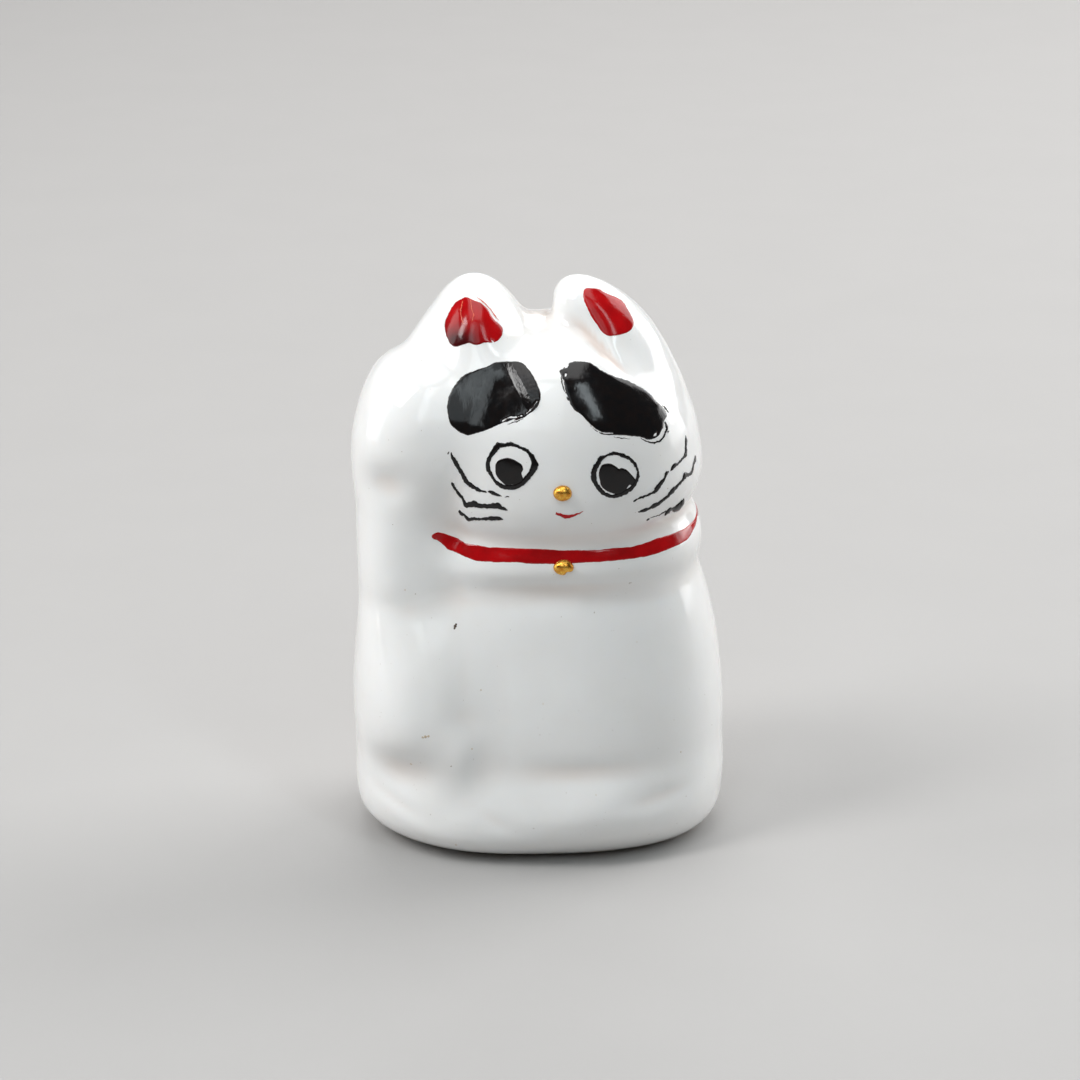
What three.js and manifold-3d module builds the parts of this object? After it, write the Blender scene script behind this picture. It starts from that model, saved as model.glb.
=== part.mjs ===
// Seated lucky cat with its right paw raised, slip cast in ceramic and glazed white.
// Millimetres, +Z up. The cat faces -Y, its right side is towards -X, and it stands on z = 0.

import * as THREE from 'three';
import { mergeVertices } from 'three/addons/utils/BufferGeometryUtils.js';
import Module from 'manifold-3d';

// Overall size
const WIDTH = 48.6;
const DEPTH = 38.6;
const TORSO_TOP = 55.5;

// Heights above the table
const BASE_ROLL_HEIGHT = 5.8;
const TAIL_HEIGHT = 6;
const TORSO_HEIGHT = 15;
const HAUNCH_HEIGHT = 19;
const ARM_HEIGHT = 40;
const COLLAR_HEIGHT = 40.3;
const NECK_HEIGHT = 42;
const HEAD_HEIGHT = 51.5;
const PAW_HEIGHT = 56;
const EAR_HEIGHT = 66;

// Head, neck and ears
const HEAD_HALF = [19.2, 18, 18.4];
const CHIN_DROP = 12.5;
const NECK_HALF = [19.4, 14.2, 9];
const COLLAR_HALF = [17.1, 14.2];
const COLLAR_RADIUS = 2.8;
const RIGHT_EAR_HALF = [6.4, 5.6, 9.1];
const RIGHT_EAR_FRONT_HALF = [5.6, 7.6, 10];
const LEFT_EAR_HALF = [5.3, 6.6, 11];
const LEFT_EAR_LEAN = -42;

// Raised arm, haunch and the roll of feet round the base
const ARM_HALF = [7.3, 10.6, 25.5];
const PAW_HALF = [8, 11, 10.5];
const HAUNCH_HALF = [8.5, 14.5, 15];
const BASE_ROLL_HALF = [22.6, 16.5, 6.4];

// Small parts
const BEAD_HALF = [1.3, 1.3, 1.1];
const BEAD_SUNK = 0.4;
const NOSE = [2.9, 51.3];
const BELL = [3, 40.9];
const FOOT_ROUNDING = 4.5;
const VENT_RADIUS = 3;
const VENT_DEPTH = 5;

// Rays that find the skin leave an upright axis between these heights
const AXIS_X = 1;
const AXIS_FOOT = 16;
const AXIS_HEAD = 58;
const COLUMNS = 66;

const wasm = await Module();
wasm.setup();

// Sideways turn of an offset by a lean in degrees, where a positive lean tips the top to +X
function leaned(dx, dz, lean) {
  const angle = THREE.MathUtils.degToRad(lean);
  const along = Math.cos(angle) * dx - Math.sin(angle) * dz;
  const up = Math.sin(angle) * dx + Math.cos(angle) * dz;
  return [along, up];
}

// Rounded block: half sizes, squareness in plan and in height, a lower half of its own height,
// a lean and a taper. Returns about how far a point lies outside it.
function swelling({ at, half, low = half[2], plan = 2, rise = 2, lean = 0, taper = 0 }) {
  return ([x, y, z]) => {
    const [dx, dz] = leaned(x - at[0], z - at[2], lean);
    const tall = dz < 0 ? low : half[2];
    const wide = half[0] * (1 - taper * THREE.MathUtils.clamp(dz / tall, -1.2, 1.2));
    const u = Math.abs(dx) / wide;
    const v = Math.abs(y - at[1]) / half[1];
    const w = Math.abs(dz) / tall;
    const level = (u ** plan + v ** plan + 1e-12) ** (1 / plan);
    const reach = (level ** rise + w ** rise + 1e-12) ** (1 / rise);
    const share = (level / reach) ** (rise - 1);
    const slope = Math.hypot(
      share * (u / level) ** (plan - 1) / half[0],
      share * (v / level) ** (plan - 1) / half[1],
      (w / reach) ** (rise - 1) / tall,
    );
    return (reach - 1) / (slope + 1e-9);
  };
}

// Roll round the neck: a bent rod whose path is a rounded oval in plan
function roll({ at, half, radius, plan }) {
  return ([x, y, z]) => {
    const u = Math.abs(x - at[0]) / half[0];
    const v = Math.abs(y - at[1]) / half[1];
    const level = (u ** plan + v ** plan + 1e-12) ** (1 / plan);
    const slope = Math.hypot((u / level) ** (plan - 1) / half[0], (v / level) ** (plan - 1) / half[1]);
    return Math.hypot((level - 1) / (slope + 1e-9), z - at[2]) - radius;
  };
}

// Straight rod with round ends, thicker at its first end
function rod({ from, to, thick, thin }) {
  const start = new THREE.Vector3(...from);
  const span = new THREE.Vector3(...to).sub(start);
  return (point) => {
    const offset = new THREE.Vector3(...point).sub(start);
    const share = THREE.MathUtils.clamp(offset.dot(span) / span.lengthSq(), 0, 1);
    return offset.addScaledVector(span, -share).length() - THREE.MathUtils.lerp(thick, thin, share);
  };
}

// Soft dent, or a soft swelling where its depth is negative
function dent({ at, size, depth, lean = 0 }) {
  return ([x, y, z]) => {
    const [dx, dz] = leaned(x - at[0], z - at[2], lean);
    const far = (dx / size[0]) ** 2 + ((y - at[1]) / size[1]) ** 2 + (dz / size[2]) ** 2;
    return depth * Math.exp(-far);
  };
}

// Soft join of two distances over a given width
function joined(a, b, width) {
  if (width === 0) return Math.min(a, b);
  const share = THREE.MathUtils.clamp(0.5 + 0.5 * (b - a) / width, 0, 1);
  return b + (a - b) * share - width * share * (1 - share);
}

// Forms of the body from the ground up, each with the width of its soft join to those before it
const forms = [
  {
    join: 0,
    shape: swelling({
      at: [0.3, 0.3, TORSO_HEIGHT],
      half: [WIDTH / 2 - 0.1, DEPTH / 2 - 0.1, TORSO_TOP - TORSO_HEIGHT],
      plan: 2.4,
    }),
  },
  {
    join: 2,
    shape: swelling({ at: [0.9, 0, NECK_HEIGHT], half: NECK_HALF, plan: 2.4, rise: 2.2 }),
  },
  {
    join: 5.5,
    shape: swelling({
      at: [-0.6, -3.1, BASE_ROLL_HEIGHT],
      half: BASE_ROLL_HALF,
      plan: 2.2,
      rise: 2.2,
    }),
  },
  {
    join: 1.5,
    shape: swelling({
      at: [1.9, -0.8, HEAD_HEIGHT],
      half: HEAD_HALF,
      low: CHIN_DROP,
      plan: 2.2,
      rise: 2.3,
      lean: -5,
      taper: 0.06,
    }),
  },
  {
    join: 3.2,
    shape: roll({ at: [0.8, 0, COLLAR_HEIGHT], half: COLLAR_HALF, radius: COLLAR_RADIUS, plan: 2.4 }),
  },
  {
    join: 4,
    shape: swelling({
      at: [-8.2, 0.6, EAR_HEIGHT],
      half: RIGHT_EAR_HALF,
      plan: 2.1,
      lean: -4,
      taper: 0.05,
    }),
  },
  {
    join: 4,
    shape: swelling({
      at: [-8, -3.8, EAR_HEIGHT - 2.4],
      half: RIGHT_EAR_FRONT_HALF,
      plan: 2.2,
      lean: -4,
    }),
  },
  {
    join: 3,
    shape: swelling({
      at: [10, -1.4, EAR_HEIGHT + 0.5],
      half: LEFT_EAR_HALF,
      low: 10.4,
      plan: 2.1,
      lean: LEFT_EAR_LEAN,
    }),
  },
  {
    join: 3,
    shape: swelling({ at: [-16.8, -4.2, ARM_HEIGHT], half: ARM_HALF, plan: 2.4, rise: 3.2 }),
  },
  {
    join: 4,
    shape: swelling({ at: [-14.6, -5, PAW_HEIGHT], half: PAW_HALF, plan: 2.3, rise: 2.2, lean: 24 }),
  },
  {
    join: 5.5,
    shape: swelling({
      at: [-14.8, -4.4, HAUNCH_HEIGHT],
      half: HAUNCH_HALF,
      low: 12,
      plan: 2.4,
      rise: 2.3,
    }),
  },
  {
    join: 3.5,
    shape: rod({
      from: [2, 16.6, TAIL_HEIGHT],
      to: [13.5, 14.6, TAIL_HEIGHT + 2.5],
      thick: 3.4,
      thin: 2.8,
    }),
  },
];

// Soft modelling pressed into or raised on those forms
const modelling = [
  // Raised arm: wrist, elbow crease and the line between arm and chest
  dent({ at: [-19.6, -14, 51.2], size: [3, 6, 2.8], depth: 1 }),
  dent({ at: [-19.6, -14, 34.2], size: [5, 6, 1.8], depth: 0.25 }),
  dent({ at: [-24, -4, 27], size: [3, 10, 9], depth: 0.4 }),
  dent({ at: [-10.2, -19, 25], size: [2.2, 6, 7], depth: 0.2 }),
  // Haunch, foreleg and belly
  dent({ at: [-18.2, -17, 12.5], size: [4.6, 7, 3.4], depth: 1.6, lean: -10 }),
  dent({ at: [-9.8, -19, 20.6], size: [2.6, 6, 2], depth: 0.18 }),
  dent({ at: [-10.3, -19, 15.6], size: [2.1, 6, 3.6], depth: -0.45 }),
  dent({ at: [5.6, -19, 13], size: [8.5, 6, 1.8], depth: 0.5 }),
  dent({ at: [15.6, -17, 8.8], size: [5, 6, 1.4], depth: 0.3, lean: -8 }),
  // Feet and the grooves between them
  dent({ at: [11, -20, 1.5], size: [11, 6, 3], depth: 0.6 }),
  dent({ at: [-13.5, -17, 4.2], size: [6.5, 8, 2.6], depth: -0.4, lean: 20 }),
  dent({ at: [-18.6, -17, 7.6], size: [4.5, 8, 1.1], depth: 0.25, lean: 22 }),
  dent({ at: [-5.6, -19, 6.8], size: [3, 8, 1.2], depth: 0.25, lean: 26 }),
  dent({ at: [6.5, -20, 7.6], size: [5.5, 8, 2.4], depth: -0.45 }),
  // Hollow under the neck roll
  dent({ at: [3, -18, 37.5], size: [9, 6, 1.9], depth: 0.7 }),
  // Brow, and the outer sides of the paw and the left ear
  dent({ at: [-8.5, -16, 60.5], size: [4, 6, 7], depth: -0.4 }),
  dent({ at: [-15.2, 0, 68], size: [2.6, 7, 2.6], depth: -1 }),
  dent({ at: [18.5, -2, 65.5], size: [4, 9, 5], depth: 0.5 }),
  // Crease along the left ear and the notch between the ears
  dent({ at: [5.4, -6.8, 69.6], size: [1.8, 4, 3], depth: 0.55, lean: -50 }),
  dent({ at: [8.7, -8.5, 66.9], size: [0.7, 4, 3.8], depth: 0.5, lean: -48 }),
  dent({ at: [0, 2, 70.6], size: [3, 6, 1.6], depth: 0.35 }),
];

// About how far a point lies outside the finished form, with its rounded edge on the flat underside
function outside(point) {
  let distance = Infinity;
  for (const { shape, join } of forms) distance = joined(shape(point), distance, join);
  for (const press of modelling) distance += press(point);
  return -joined(-distance, point[2], FOOT_ROUNDING);
}

// Direction in which that distance grows fastest, with its slope
function growth(point) {
  const step = 0.01;
  const slopes = point.map((value, axis) => {
    const ahead = [...point];
    const behind = [...point];
    ahead[axis] += step;
    behind[axis] -= step;
    return (outside(ahead) - outside(behind)) / (2 * step);
  });
  return new THREE.Vector3(...slopes);
}

// Point where a ray from inside first leaves the form
function exitPoint(start, direction) {
  const at = (reach) => start.clone().addScaledVector(direction, reach);
  let inner = 0;
  while (outside(at(inner + 1).toArray()) < 0) inner += 1;
  let outer = inner + 1;
  for (let halving = 0; halving < 30; halving += 1) {
    const middle = (inner + outer) / 2;
    if (outside(at(middle).toArray()) < 0) inner = middle;
    else outer = middle;
  }
  return at((inner + outer) / 2);
}

// Stretches of rays from the ground up, closest together where the neck roll needs them
const stretches = [
  { heights: [AXIS_FOOT, AXIS_FOOT], elevations: [-52, 0], rows: 14 },
  { heights: [AXIS_FOOT, COLLAR_HEIGHT - 5], elevations: [0, 0], rows: 8 },
  { heights: [COLLAR_HEIGHT - 5, COLLAR_HEIGHT + 6.5], elevations: [0, 0], rows: 13 },
  { heights: [COLLAR_HEIGHT + 6.5, AXIS_HEAD], elevations: [0, 0], rows: 6 },
  { heights: [AXIS_HEAD, AXIS_HEAD], elevations: [0, 90], rows: 23 },
];

// Point of the skin where a ray at a height, an elevation and an azimuth leaves the form
function skinPoint(height, elevation, azimuth) {
  const level = Math.cos(elevation);
  const direction = new THREE.Vector3(
    Math.cos(azimuth) * level,
    Math.sin(azimuth) * level,
    Math.sin(elevation),
  );
  const point = exitPoint(new THREE.Vector3(AXIS_X, 0, height), direction);
  if (Math.abs(point.z) < 1e-3) point.z = 0;
  return point;
}

// Closed skin of the form: rings of points from the underside to the crown, and a point at each end
function skin() {
  const points = [skinPoint(AXIS_FOOT, -Math.PI / 2, 0)];
  for (const { heights, elevations, rows } of stretches) {
    for (let row = 0; row < rows; row += 1) {
      const height = THREE.MathUtils.lerp(...heights, row / rows);
      const elevation = THREE.MathUtils.degToRad(THREE.MathUtils.lerp(...elevations, row / rows));
      for (let column = 0; column < COLUMNS; column += 1) {
        points.push(skinPoint(height, elevation, 2 * Math.PI * column / COLUMNS));
      }
    }
  }
  points.push(skinPoint(AXIS_HEAD, Math.PI / 2, 0));
  const crown = points.length - 1;
  const last = crown - COLUMNS;
  const index = [];
  for (let column = 0; column < COLUMNS; column += 1) {
    const next = (column + 1) % COLUMNS;
    index.push(0, 1 + next, 1 + column);
    index.push(crown, last + column, last + next);
    for (let ring = 1; ring < last; ring += COLUMNS) {
      index.push(...twoTriangles(points, ring + column, ring + next, ring + COLUMNS + column));
    }
  }
  return new THREE.BufferGeometry().setFromPoints(points).setIndex(index);
}

// Two triangles of a four-sided patch, split along its shorter diagonal
function twoTriangles(points, a, b, d) {
  const c = b + COLUMNS;
  const split = points[a].distanceTo(points[c]) < points[b].distanceTo(points[d]);
  return split ? [a, b, c, a, c, d] : [a, b, d, b, c, d];
}

// Shared-vertex solid of a closed geometry
function solid(geometry) {
  const bare = geometry.clone();
  for (const name of ['normal', 'uv']) bare.deleteAttribute(name);
  const merged = mergeVertices(bare, 1e-5);
  const vertProperties = new Float32Array(merged.getAttribute('position').array);
  const triVerts = new Uint32Array(merged.getIndex().array);
  return new wasm.Manifold(new wasm.Mesh({ numProp: 3, vertProperties, triVerts }));
}

// Geometry of a solid
function geometryOf(body) {
  const { vertProperties, triVerts } = body.getMesh();
  const geometry = new THREE.BufferGeometry();
  geometry.setAttribute('position', new THREE.BufferAttribute(vertProperties, 3));
  geometry.setIndex(new THREE.BufferAttribute(triVerts, 1));
  return geometry;
}

// Raised drop of enamel on the front of the form, at a place given by its x and z
function bead([x, z]) {
  const foot = exitPoint(new THREE.Vector3(x, 0, z), new THREE.Vector3(0, -1, 0));
  const facing = growth(foot.toArray()).normalize();
  const centre = foot.addScaledVector(facing, -BEAD_SUNK);
  const drop = new THREE.SphereGeometry(1, 14, 9);
  drop.scale(...BEAD_HALF);
  drop.translate(...centre);
  return solid(drop);
}

// Blind vent hole in the middle of the underside
function vent() {
  const hole = new THREE.CylinderGeometry(VENT_RADIUS, VENT_RADIUS, 2 * VENT_DEPTH, 24);
  hole.rotateX(Math.PI / 2);
  return solid(hole);
}

const glaze = new THREE.MeshStandardMaterial({ color: 0xf3f4ef, roughness: 0.12, metalness: 0 });

const body = solid(skin()).add(bead(NOSE)).add(bead(BELL)).subtract(vent());

const figure = new THREE.Mesh(geometryOf(body), glaze);
figure.name = 'cat_figure';

// The origin is the middle of the footprint
figure.geometry.computeBoundingBox();
const middle = figure.geometry.boundingBox.getCenter(new THREE.Vector3());
figure.position.set(-middle.x, -middle.y, 0);

const group = new THREE.Group();
group.add(figure);

export default group;
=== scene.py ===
# Looks of a small cast lucky cat: its glaze, enamels and gold drops, and the stage it stands on.
import math

import bpy
import numpy as np
from bpy.props import FloatProperty, FloatVectorProperty, IntProperty, PointerProperty
from bpy.types import Operator, Panel, PropertyGroup
from mathutils import Matrix, Vector, noise


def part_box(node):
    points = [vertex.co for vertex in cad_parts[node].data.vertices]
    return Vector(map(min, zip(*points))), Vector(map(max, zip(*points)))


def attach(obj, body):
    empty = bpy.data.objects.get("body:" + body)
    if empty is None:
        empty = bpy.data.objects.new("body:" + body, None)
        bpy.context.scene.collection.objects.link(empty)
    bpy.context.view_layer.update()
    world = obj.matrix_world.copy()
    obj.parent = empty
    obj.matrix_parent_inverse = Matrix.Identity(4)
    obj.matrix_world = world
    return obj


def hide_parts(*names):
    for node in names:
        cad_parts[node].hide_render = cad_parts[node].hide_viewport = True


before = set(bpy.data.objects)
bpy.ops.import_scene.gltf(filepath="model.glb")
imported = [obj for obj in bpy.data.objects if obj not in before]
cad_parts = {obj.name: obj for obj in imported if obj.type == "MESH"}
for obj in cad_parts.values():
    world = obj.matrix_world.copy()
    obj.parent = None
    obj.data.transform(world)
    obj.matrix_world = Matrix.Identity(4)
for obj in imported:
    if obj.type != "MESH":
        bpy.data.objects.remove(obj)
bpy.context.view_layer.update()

bl_info = {
    "name": "Lucky Cat Figure",
    "version": (1, 0, 0),
    "blender": (4, 5, 0),
    "location": "View3D > Sidebar > Lucky Cat",
    "description": "Glaze, enamels and gold drops of a small cast lucky cat, with its stage",
    "category": "Object",
}

FIGURE = "cat_figure"

# The figure is modelled in millimetres, facing -Y, and set down in metres
MM = 0.001

# Overall size and heights above the table, in millimetres
WIDTH = 48.6
DEPTH = 38.6
TORSO_TOP = 55.5
BASE_ROLL_HEIGHT = 5.8
TAIL_HEIGHT = 6
TORSO_HEIGHT = 15
HAUNCH_HEIGHT = 19
ARM_HEIGHT = 40
COLLAR_HEIGHT = 40.3
NECK_HEIGHT = 42
HEAD_HEIGHT = 51.5
PAW_HEIGHT = 56
EAR_HEIGHT = 66
FOOT_ROUNDING = 4.5
COLLAR_AT = (0.8, 0)
COLLAR_HALF = (17.1, 14.2)
COLLAR_RADIUS = 2.8
COLLAR_SQUARENESS = 2.4
VENT_RADIUS = 3
VENT_DEPTH = 5

# Upright axis that the rays to the skin leave from, and the skin's columns and stretches of rows
AXIS_X = 1
AXIS_FOOT = 16
AXIS_HEAD = 58
COLUMNS = 66
STRETCHES = (
    {"heights": (AXIS_FOOT, AXIS_FOOT), "elevations": (-52, 0), "rows": 14},
    {"heights": (AXIS_FOOT, COLLAR_HEIGHT - 5), "elevations": (0, 0), "rows": 8},
    {"heights": (COLLAR_HEIGHT - 5, COLLAR_HEIGHT + 6.5), "elevations": (0, 0), "rows": 13},
    {"heights": (COLLAR_HEIGHT + 6.5, AXIS_HEAD), "elevations": (0, 0), "rows": 6},
    {"heights": (AXIS_HEAD, AXIS_HEAD), "elevations": (0, 90), "rows": 23},
)

# The photograph's frame, which the painted marks are measured in, and the camera that took it
FRAME_PIXELS = 1080
CAMERA_ELEVATION = 19
CAMERA_DISTANCE = 520
CAMERA_TARGET = (0, 0, 38.8)
PIXELS_PER_MM = 7.546
SENSOR_WIDTH = 36


def leaned(dx, dz, lean):
    """Offset turned sideways by a lean in degrees; a positive lean tips the top to +X."""
    angle = math.radians(lean)
    return (
        math.cos(angle) * dx - math.sin(angle) * dz,
        math.sin(angle) * dx + math.cos(angle) * dz,
    )


def swelling(points, at, half, low=None, plan=2, rise=2, lean=0, taper=0):
    """About how far points lie outside a rounded block."""
    x, y, z = points.T
    dx, dz = leaned(x - at[0], z - at[2], lean)
    tall = half[2] if low is None else np.where(dz < 0, low, half[2])
    wide = half[0] * (1 - taper * np.clip(dz / tall, -1.2, 1.2))
    u = np.abs(dx) / wide
    v = np.abs(y - at[1]) / half[1]
    w = np.abs(dz) / tall
    level = (u**plan + v**plan + 1e-12) ** (1 / plan)
    reach = (level**rise + w**rise + 1e-12) ** (1 / rise)
    share = (level / reach) ** (rise - 1)
    slope = np.sqrt(
        (share * (u / level) ** (plan - 1) / half[0]) ** 2
        + (share * (v / level) ** (plan - 1) / half[1]) ** 2
        + ((w / reach) ** (rise - 1) / tall) ** 2
    )
    return (reach - 1) / (slope + 1e-9)


def roll(points, at, half, radius, plan):
    """About how far points lie outside a bent rod that runs round the neck."""
    x, y, z = points.T
    u = np.abs(x - at[0]) / half[0]
    v = np.abs(y - at[1]) / half[1]
    level = (u**plan + v**plan + 1e-12) ** (1 / plan)
    slope = np.hypot((u / level) ** (plan - 1) / half[0], (v / level) ** (plan - 1) / half[1])
    return np.hypot((level - 1) / (slope + 1e-9), z - at[2]) - radius


def rod(points, start, end, thick, thin):
    """How far points lie outside a straight rod with round ends."""
    span = np.subtract(end, start)
    offset = points - np.asarray(start, float)
    share = np.clip(offset @ span / (span @ span), 0, 1)
    return np.linalg.norm(offset - share[:, None] * span, axis=1) - thick - (thin - thick) * share


def dent(points, at, size, depth, lean=0):
    """Soft dent, or a swelling where its depth is negative."""
    x, y, z = points.T
    dx, dz = leaned(x - at[0], z - at[2], lean)
    far = (dx / size[0]) ** 2 + ((y - at[1]) / size[1]) ** 2 + (dz / size[2]) ** 2
    return depth * np.exp(-far)


def joined(a, b, width):
    """Soft join of two distances over a given width."""
    share = np.clip(0.5 + 0.5 * (b - a) / width, 0, 1)
    return b + (a - b) * share - width * share * (1 - share)


# Forms from the ground up, each with the width of its soft join to those before it
TORSO = {
    "at": (0.3, 0.3, TORSO_HEIGHT),
    "half": (WIDTH / 2 - 0.1, DEPTH / 2 - 0.1, TORSO_TOP - TORSO_HEIGHT),
    "plan": 2.4,
}
FORMS = (
    (swelling, 2, {"at": (0.9, 0, NECK_HEIGHT), "half": (19.4, 14.2, 9), "plan": 2.4, "rise": 2.2}),
    (swelling, 5.5, {
        "at": (-0.6, -3.1, BASE_ROLL_HEIGHT), "half": (22.6, 16.5, 6.4), "plan": 2.2, "rise": 2.2,
    }),
    (swelling, 1.5, {
        "at": (1.9, -0.8, HEAD_HEIGHT),
        "half": (19.2, 18, 18.4),
        "low": 12.5,
        "plan": 2.2,
        "rise": 2.3,
        "lean": -5,
        "taper": 0.06,
    }),
    (roll, 3.2, {
        "at": (*COLLAR_AT, COLLAR_HEIGHT),
        "half": COLLAR_HALF,
        "radius": COLLAR_RADIUS,
        "plan": COLLAR_SQUARENESS,
    }),
    (swelling, 4, {
        "at": (-8.2, 0.6, EAR_HEIGHT),
        "half": (6.4, 5.6, 9.1),
        "plan": 2.1,
        "lean": -4,
        "taper": 0.05,
    }),
    (swelling, 4, {
        "at": (-8, -3.8, EAR_HEIGHT - 2.4), "half": (5.6, 7.6, 10), "plan": 2.2, "lean": -4,
    }),
    (swelling, 3, {
        "at": (10, -1.4, EAR_HEIGHT + 0.5),
        "half": (5.3, 6.6, 11),
        "low": 10.4,
        "plan": 2.1,
        "lean": -42,
    }),
    (swelling, 3, {
        "at": (-16.8, -4.2, ARM_HEIGHT), "half": (7.3, 10.6, 25.5), "plan": 2.4, "rise": 3.2,
    }),
    (swelling, 4, {
        "at": (-14.6, -5, PAW_HEIGHT), "half": (8, 11, 10.5), "plan": 2.3, "rise": 2.2, "lean": 24,
    }),
    (swelling, 5.5, {
        "at": (-14.8, -4.4, HAUNCH_HEIGHT),
        "half": (8.5, 14.5, 15),
        "low": 12,
        "plan": 2.4,
        "rise": 2.3,
    }),
    (rod, 3.5, {
        "start": (2, 16.6, TAIL_HEIGHT),
        "end": (13.5, 14.6, TAIL_HEIGHT + 2.5),
        "thick": 3.4,
        "thin": 2.8,
    }),
)

# Soft modelling pressed into or raised on those forms
MODELLING = (
    # Raised arm: wrist, elbow crease and the line between arm and chest
    {"at": (-19.6, -14, 51.2), "size": (3, 6, 2.8), "depth": 1},
    {"at": (-19.6, -14, 34.2), "size": (5, 6, 1.8), "depth": 0.25},
    {"at": (-24, -4, 27), "size": (3, 10, 9), "depth": 0.4},
    {"at": (-10.2, -19, 25), "size": (2.2, 6, 7), "depth": 0.2},
    # Haunch, foreleg and belly
    {"at": (-18.2, -17, 12.5), "size": (4.6, 7, 3.4), "depth": 1.6, "lean": -10},
    {"at": (-9.8, -19, 20.6), "size": (2.6, 6, 2), "depth": 0.18},
    {"at": (-10.3, -19, 15.6), "size": (2.1, 6, 3.6), "depth": -0.45},
    {"at": (5.6, -19, 13), "size": (8.5, 6, 1.8), "depth": 0.5},
    {"at": (15.6, -17, 8.8), "size": (5, 6, 1.4), "depth": 0.3, "lean": -8},
    # Feet and the grooves between them
    {"at": (11, -20, 1.5), "size": (11, 6, 3), "depth": 0.6},
    {"at": (-13.5, -17, 4.2), "size": (6.5, 8, 2.6), "depth": -0.4, "lean": 20},
    {"at": (-18.6, -17, 7.6), "size": (4.5, 8, 1.1), "depth": 0.25, "lean": 22},
    {"at": (-5.6, -19, 6.8), "size": (3, 8, 1.2), "depth": 0.25, "lean": 26},
    {"at": (6.5, -20, 7.6), "size": (5.5, 8, 2.4), "depth": -0.45},
    # Hollow under the neck roll
    {"at": (3, -18, 37.5), "size": (9, 6, 1.9), "depth": 0.7},
    # Brow, and the outer sides of the paw and the left ear
    {"at": (-8.5, -16, 60.5), "size": (4, 6, 7), "depth": -0.4},
    {"at": (-15.2, 0, 68), "size": (2.6, 7, 2.6), "depth": -1},
    {"at": (18.5, -2, 65.5), "size": (4, 9, 5), "depth": 0.5},
    # Crease along the left ear and the notch between the ears
    {"at": (5.4, -6.8, 69.6), "size": (1.8, 4, 3), "depth": 0.55, "lean": -50},
    {"at": (8.7, -8.5, 66.9), "size": (0.7, 4, 3.8), "depth": 0.5, "lean": -48},
    {"at": (0, 2, 70.6), "size": (3, 6, 1.6), "depth": 0.35},
)


def outside(points):
    """About how far points lie outside the finished form."""
    distance = swelling(points, **TORSO)
    for shape, join, sizes in FORMS:
        distance = joined(shape(points, **sizes), distance, join)
    for press in MODELLING:
        distance = distance + dent(points, **press)
    return -joined(-distance, points[:, 2], FOOT_ROUNDING)


def outward(points):
    """Unit directions that lead straight out of the form."""
    corners = np.array([(1, -1, -1), (-1, -1, 1), (-1, 1, -1), (1, 1, 1)])
    slope = sum(corner * outside(points + 0.02 * corner)[:, None] for corner in corners)
    return slope / np.linalg.norm(slope, axis=1)[:, None]


def cast(starts, directions, inside):
    """Points where rays first cross the form's surface, from inside it or from outside."""
    sign = -1 if inside else 1
    reach = np.zeros(len(starts))
    moving = np.arange(len(starts))
    for _ in range(90):
        gap = sign * outside(starts[moving] + reach[moving, None] * directions[moving])
        reach[moving] += 0.85 * gap
        moving = moving[np.abs(gap) > 2e-4]
        if not len(moving):
            break
    return starts + reach[:, None] * directions


def view_axes():
    """Right, up and forward directions of the photograph's camera, and its place."""
    tilt = math.radians(CAMERA_ELEVATION)
    forward = np.array([0, math.cos(tilt), -math.sin(tilt)])
    up = np.array([0, math.sin(tilt), math.cos(tilt)])
    eye = np.array(CAMERA_TARGET) - CAMERA_DISTANCE * forward
    return np.array([1.0, 0, 0]), up, forward, eye


def on_figure(pixels):
    """Points of the figure's surface that the photograph shows at the given pixels."""
    right, up, forward, eye = view_axes()
    pixels = np.asarray(pixels, float)
    focal = PIXELS_PER_MM * CAMERA_DISTANCE
    across = (pixels[:, 0] - FRAME_PIXELS / 2) / focal
    down = (pixels[:, 1] - FRAME_PIXELS / 2) / focal
    rays = forward + across[:, None] * right - down[:, None] * up
    rays /= np.linalg.norm(rays, axis=1)[:, None]
    starts = eye + (CAMERA_DISTANCE - 60) * rays
    return cast(starts, rays, inside=False)


def skin_rings(fineness):
    """Rings of points round the form, from the underside to the crown."""
    columns = COLUMNS * fineness
    azimuth = 2 * np.pi * np.arange(columns) / columns
    starts = []
    directions = []
    for stretch in STRETCHES:
        rows = stretch["rows"] * fineness
        for share in np.arange(rows) / rows:
            height = np.interp(share, (0, 1), stretch["heights"])
            tilt = math.radians(np.interp(share, (0, 1), stretch["elevations"]))
            level = math.cos(tilt)
            starts.append(np.tile((AXIS_X, 0, height), (columns, 1)))
            directions.append(np.stack([
                np.cos(azimuth) * level,
                np.sin(azimuth) * level,
                np.full(columns, math.sin(tilt)),
            ], axis=1))
    points = cast(np.concatenate(starts), np.concatenate(directions), inside=True)
    return points.reshape(-1, columns, 3)


def box_middle(points):
    """Middle of the box round some points, in plan."""
    return (points.min(axis=0) + points.max(axis=0))[:2] / 2


# The CAD solid has its origin in the middle of its footprint, so the form is moved there too
CAD_MIDDLE = box_middle(np.array(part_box(FIGURE)) / MM)
OFFSET = np.array([*(CAD_MIDDLE - box_middle(skin_rings(1).reshape(-1, 3))), 0])


def placed(points):
    """Points of the form in millimetres, moved into the shared frame in metres."""
    return (np.asarray(points) + OFFSET) * MM


def grain(points, size, seed):
    """Smooth random values, mostly within -0.6 to 0.6, that change over a given size."""
    spots = points / size + 17.3 * seed
    return np.array([noise.noise(spot) for spot in spots.tolist()])


def wobble(points):
    """Gentle waves that the glaze ran into, in millimetres."""
    return 0.05 * grain(points, 9, 1) + 0.02 * grain(points, 3.5, 2)


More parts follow.
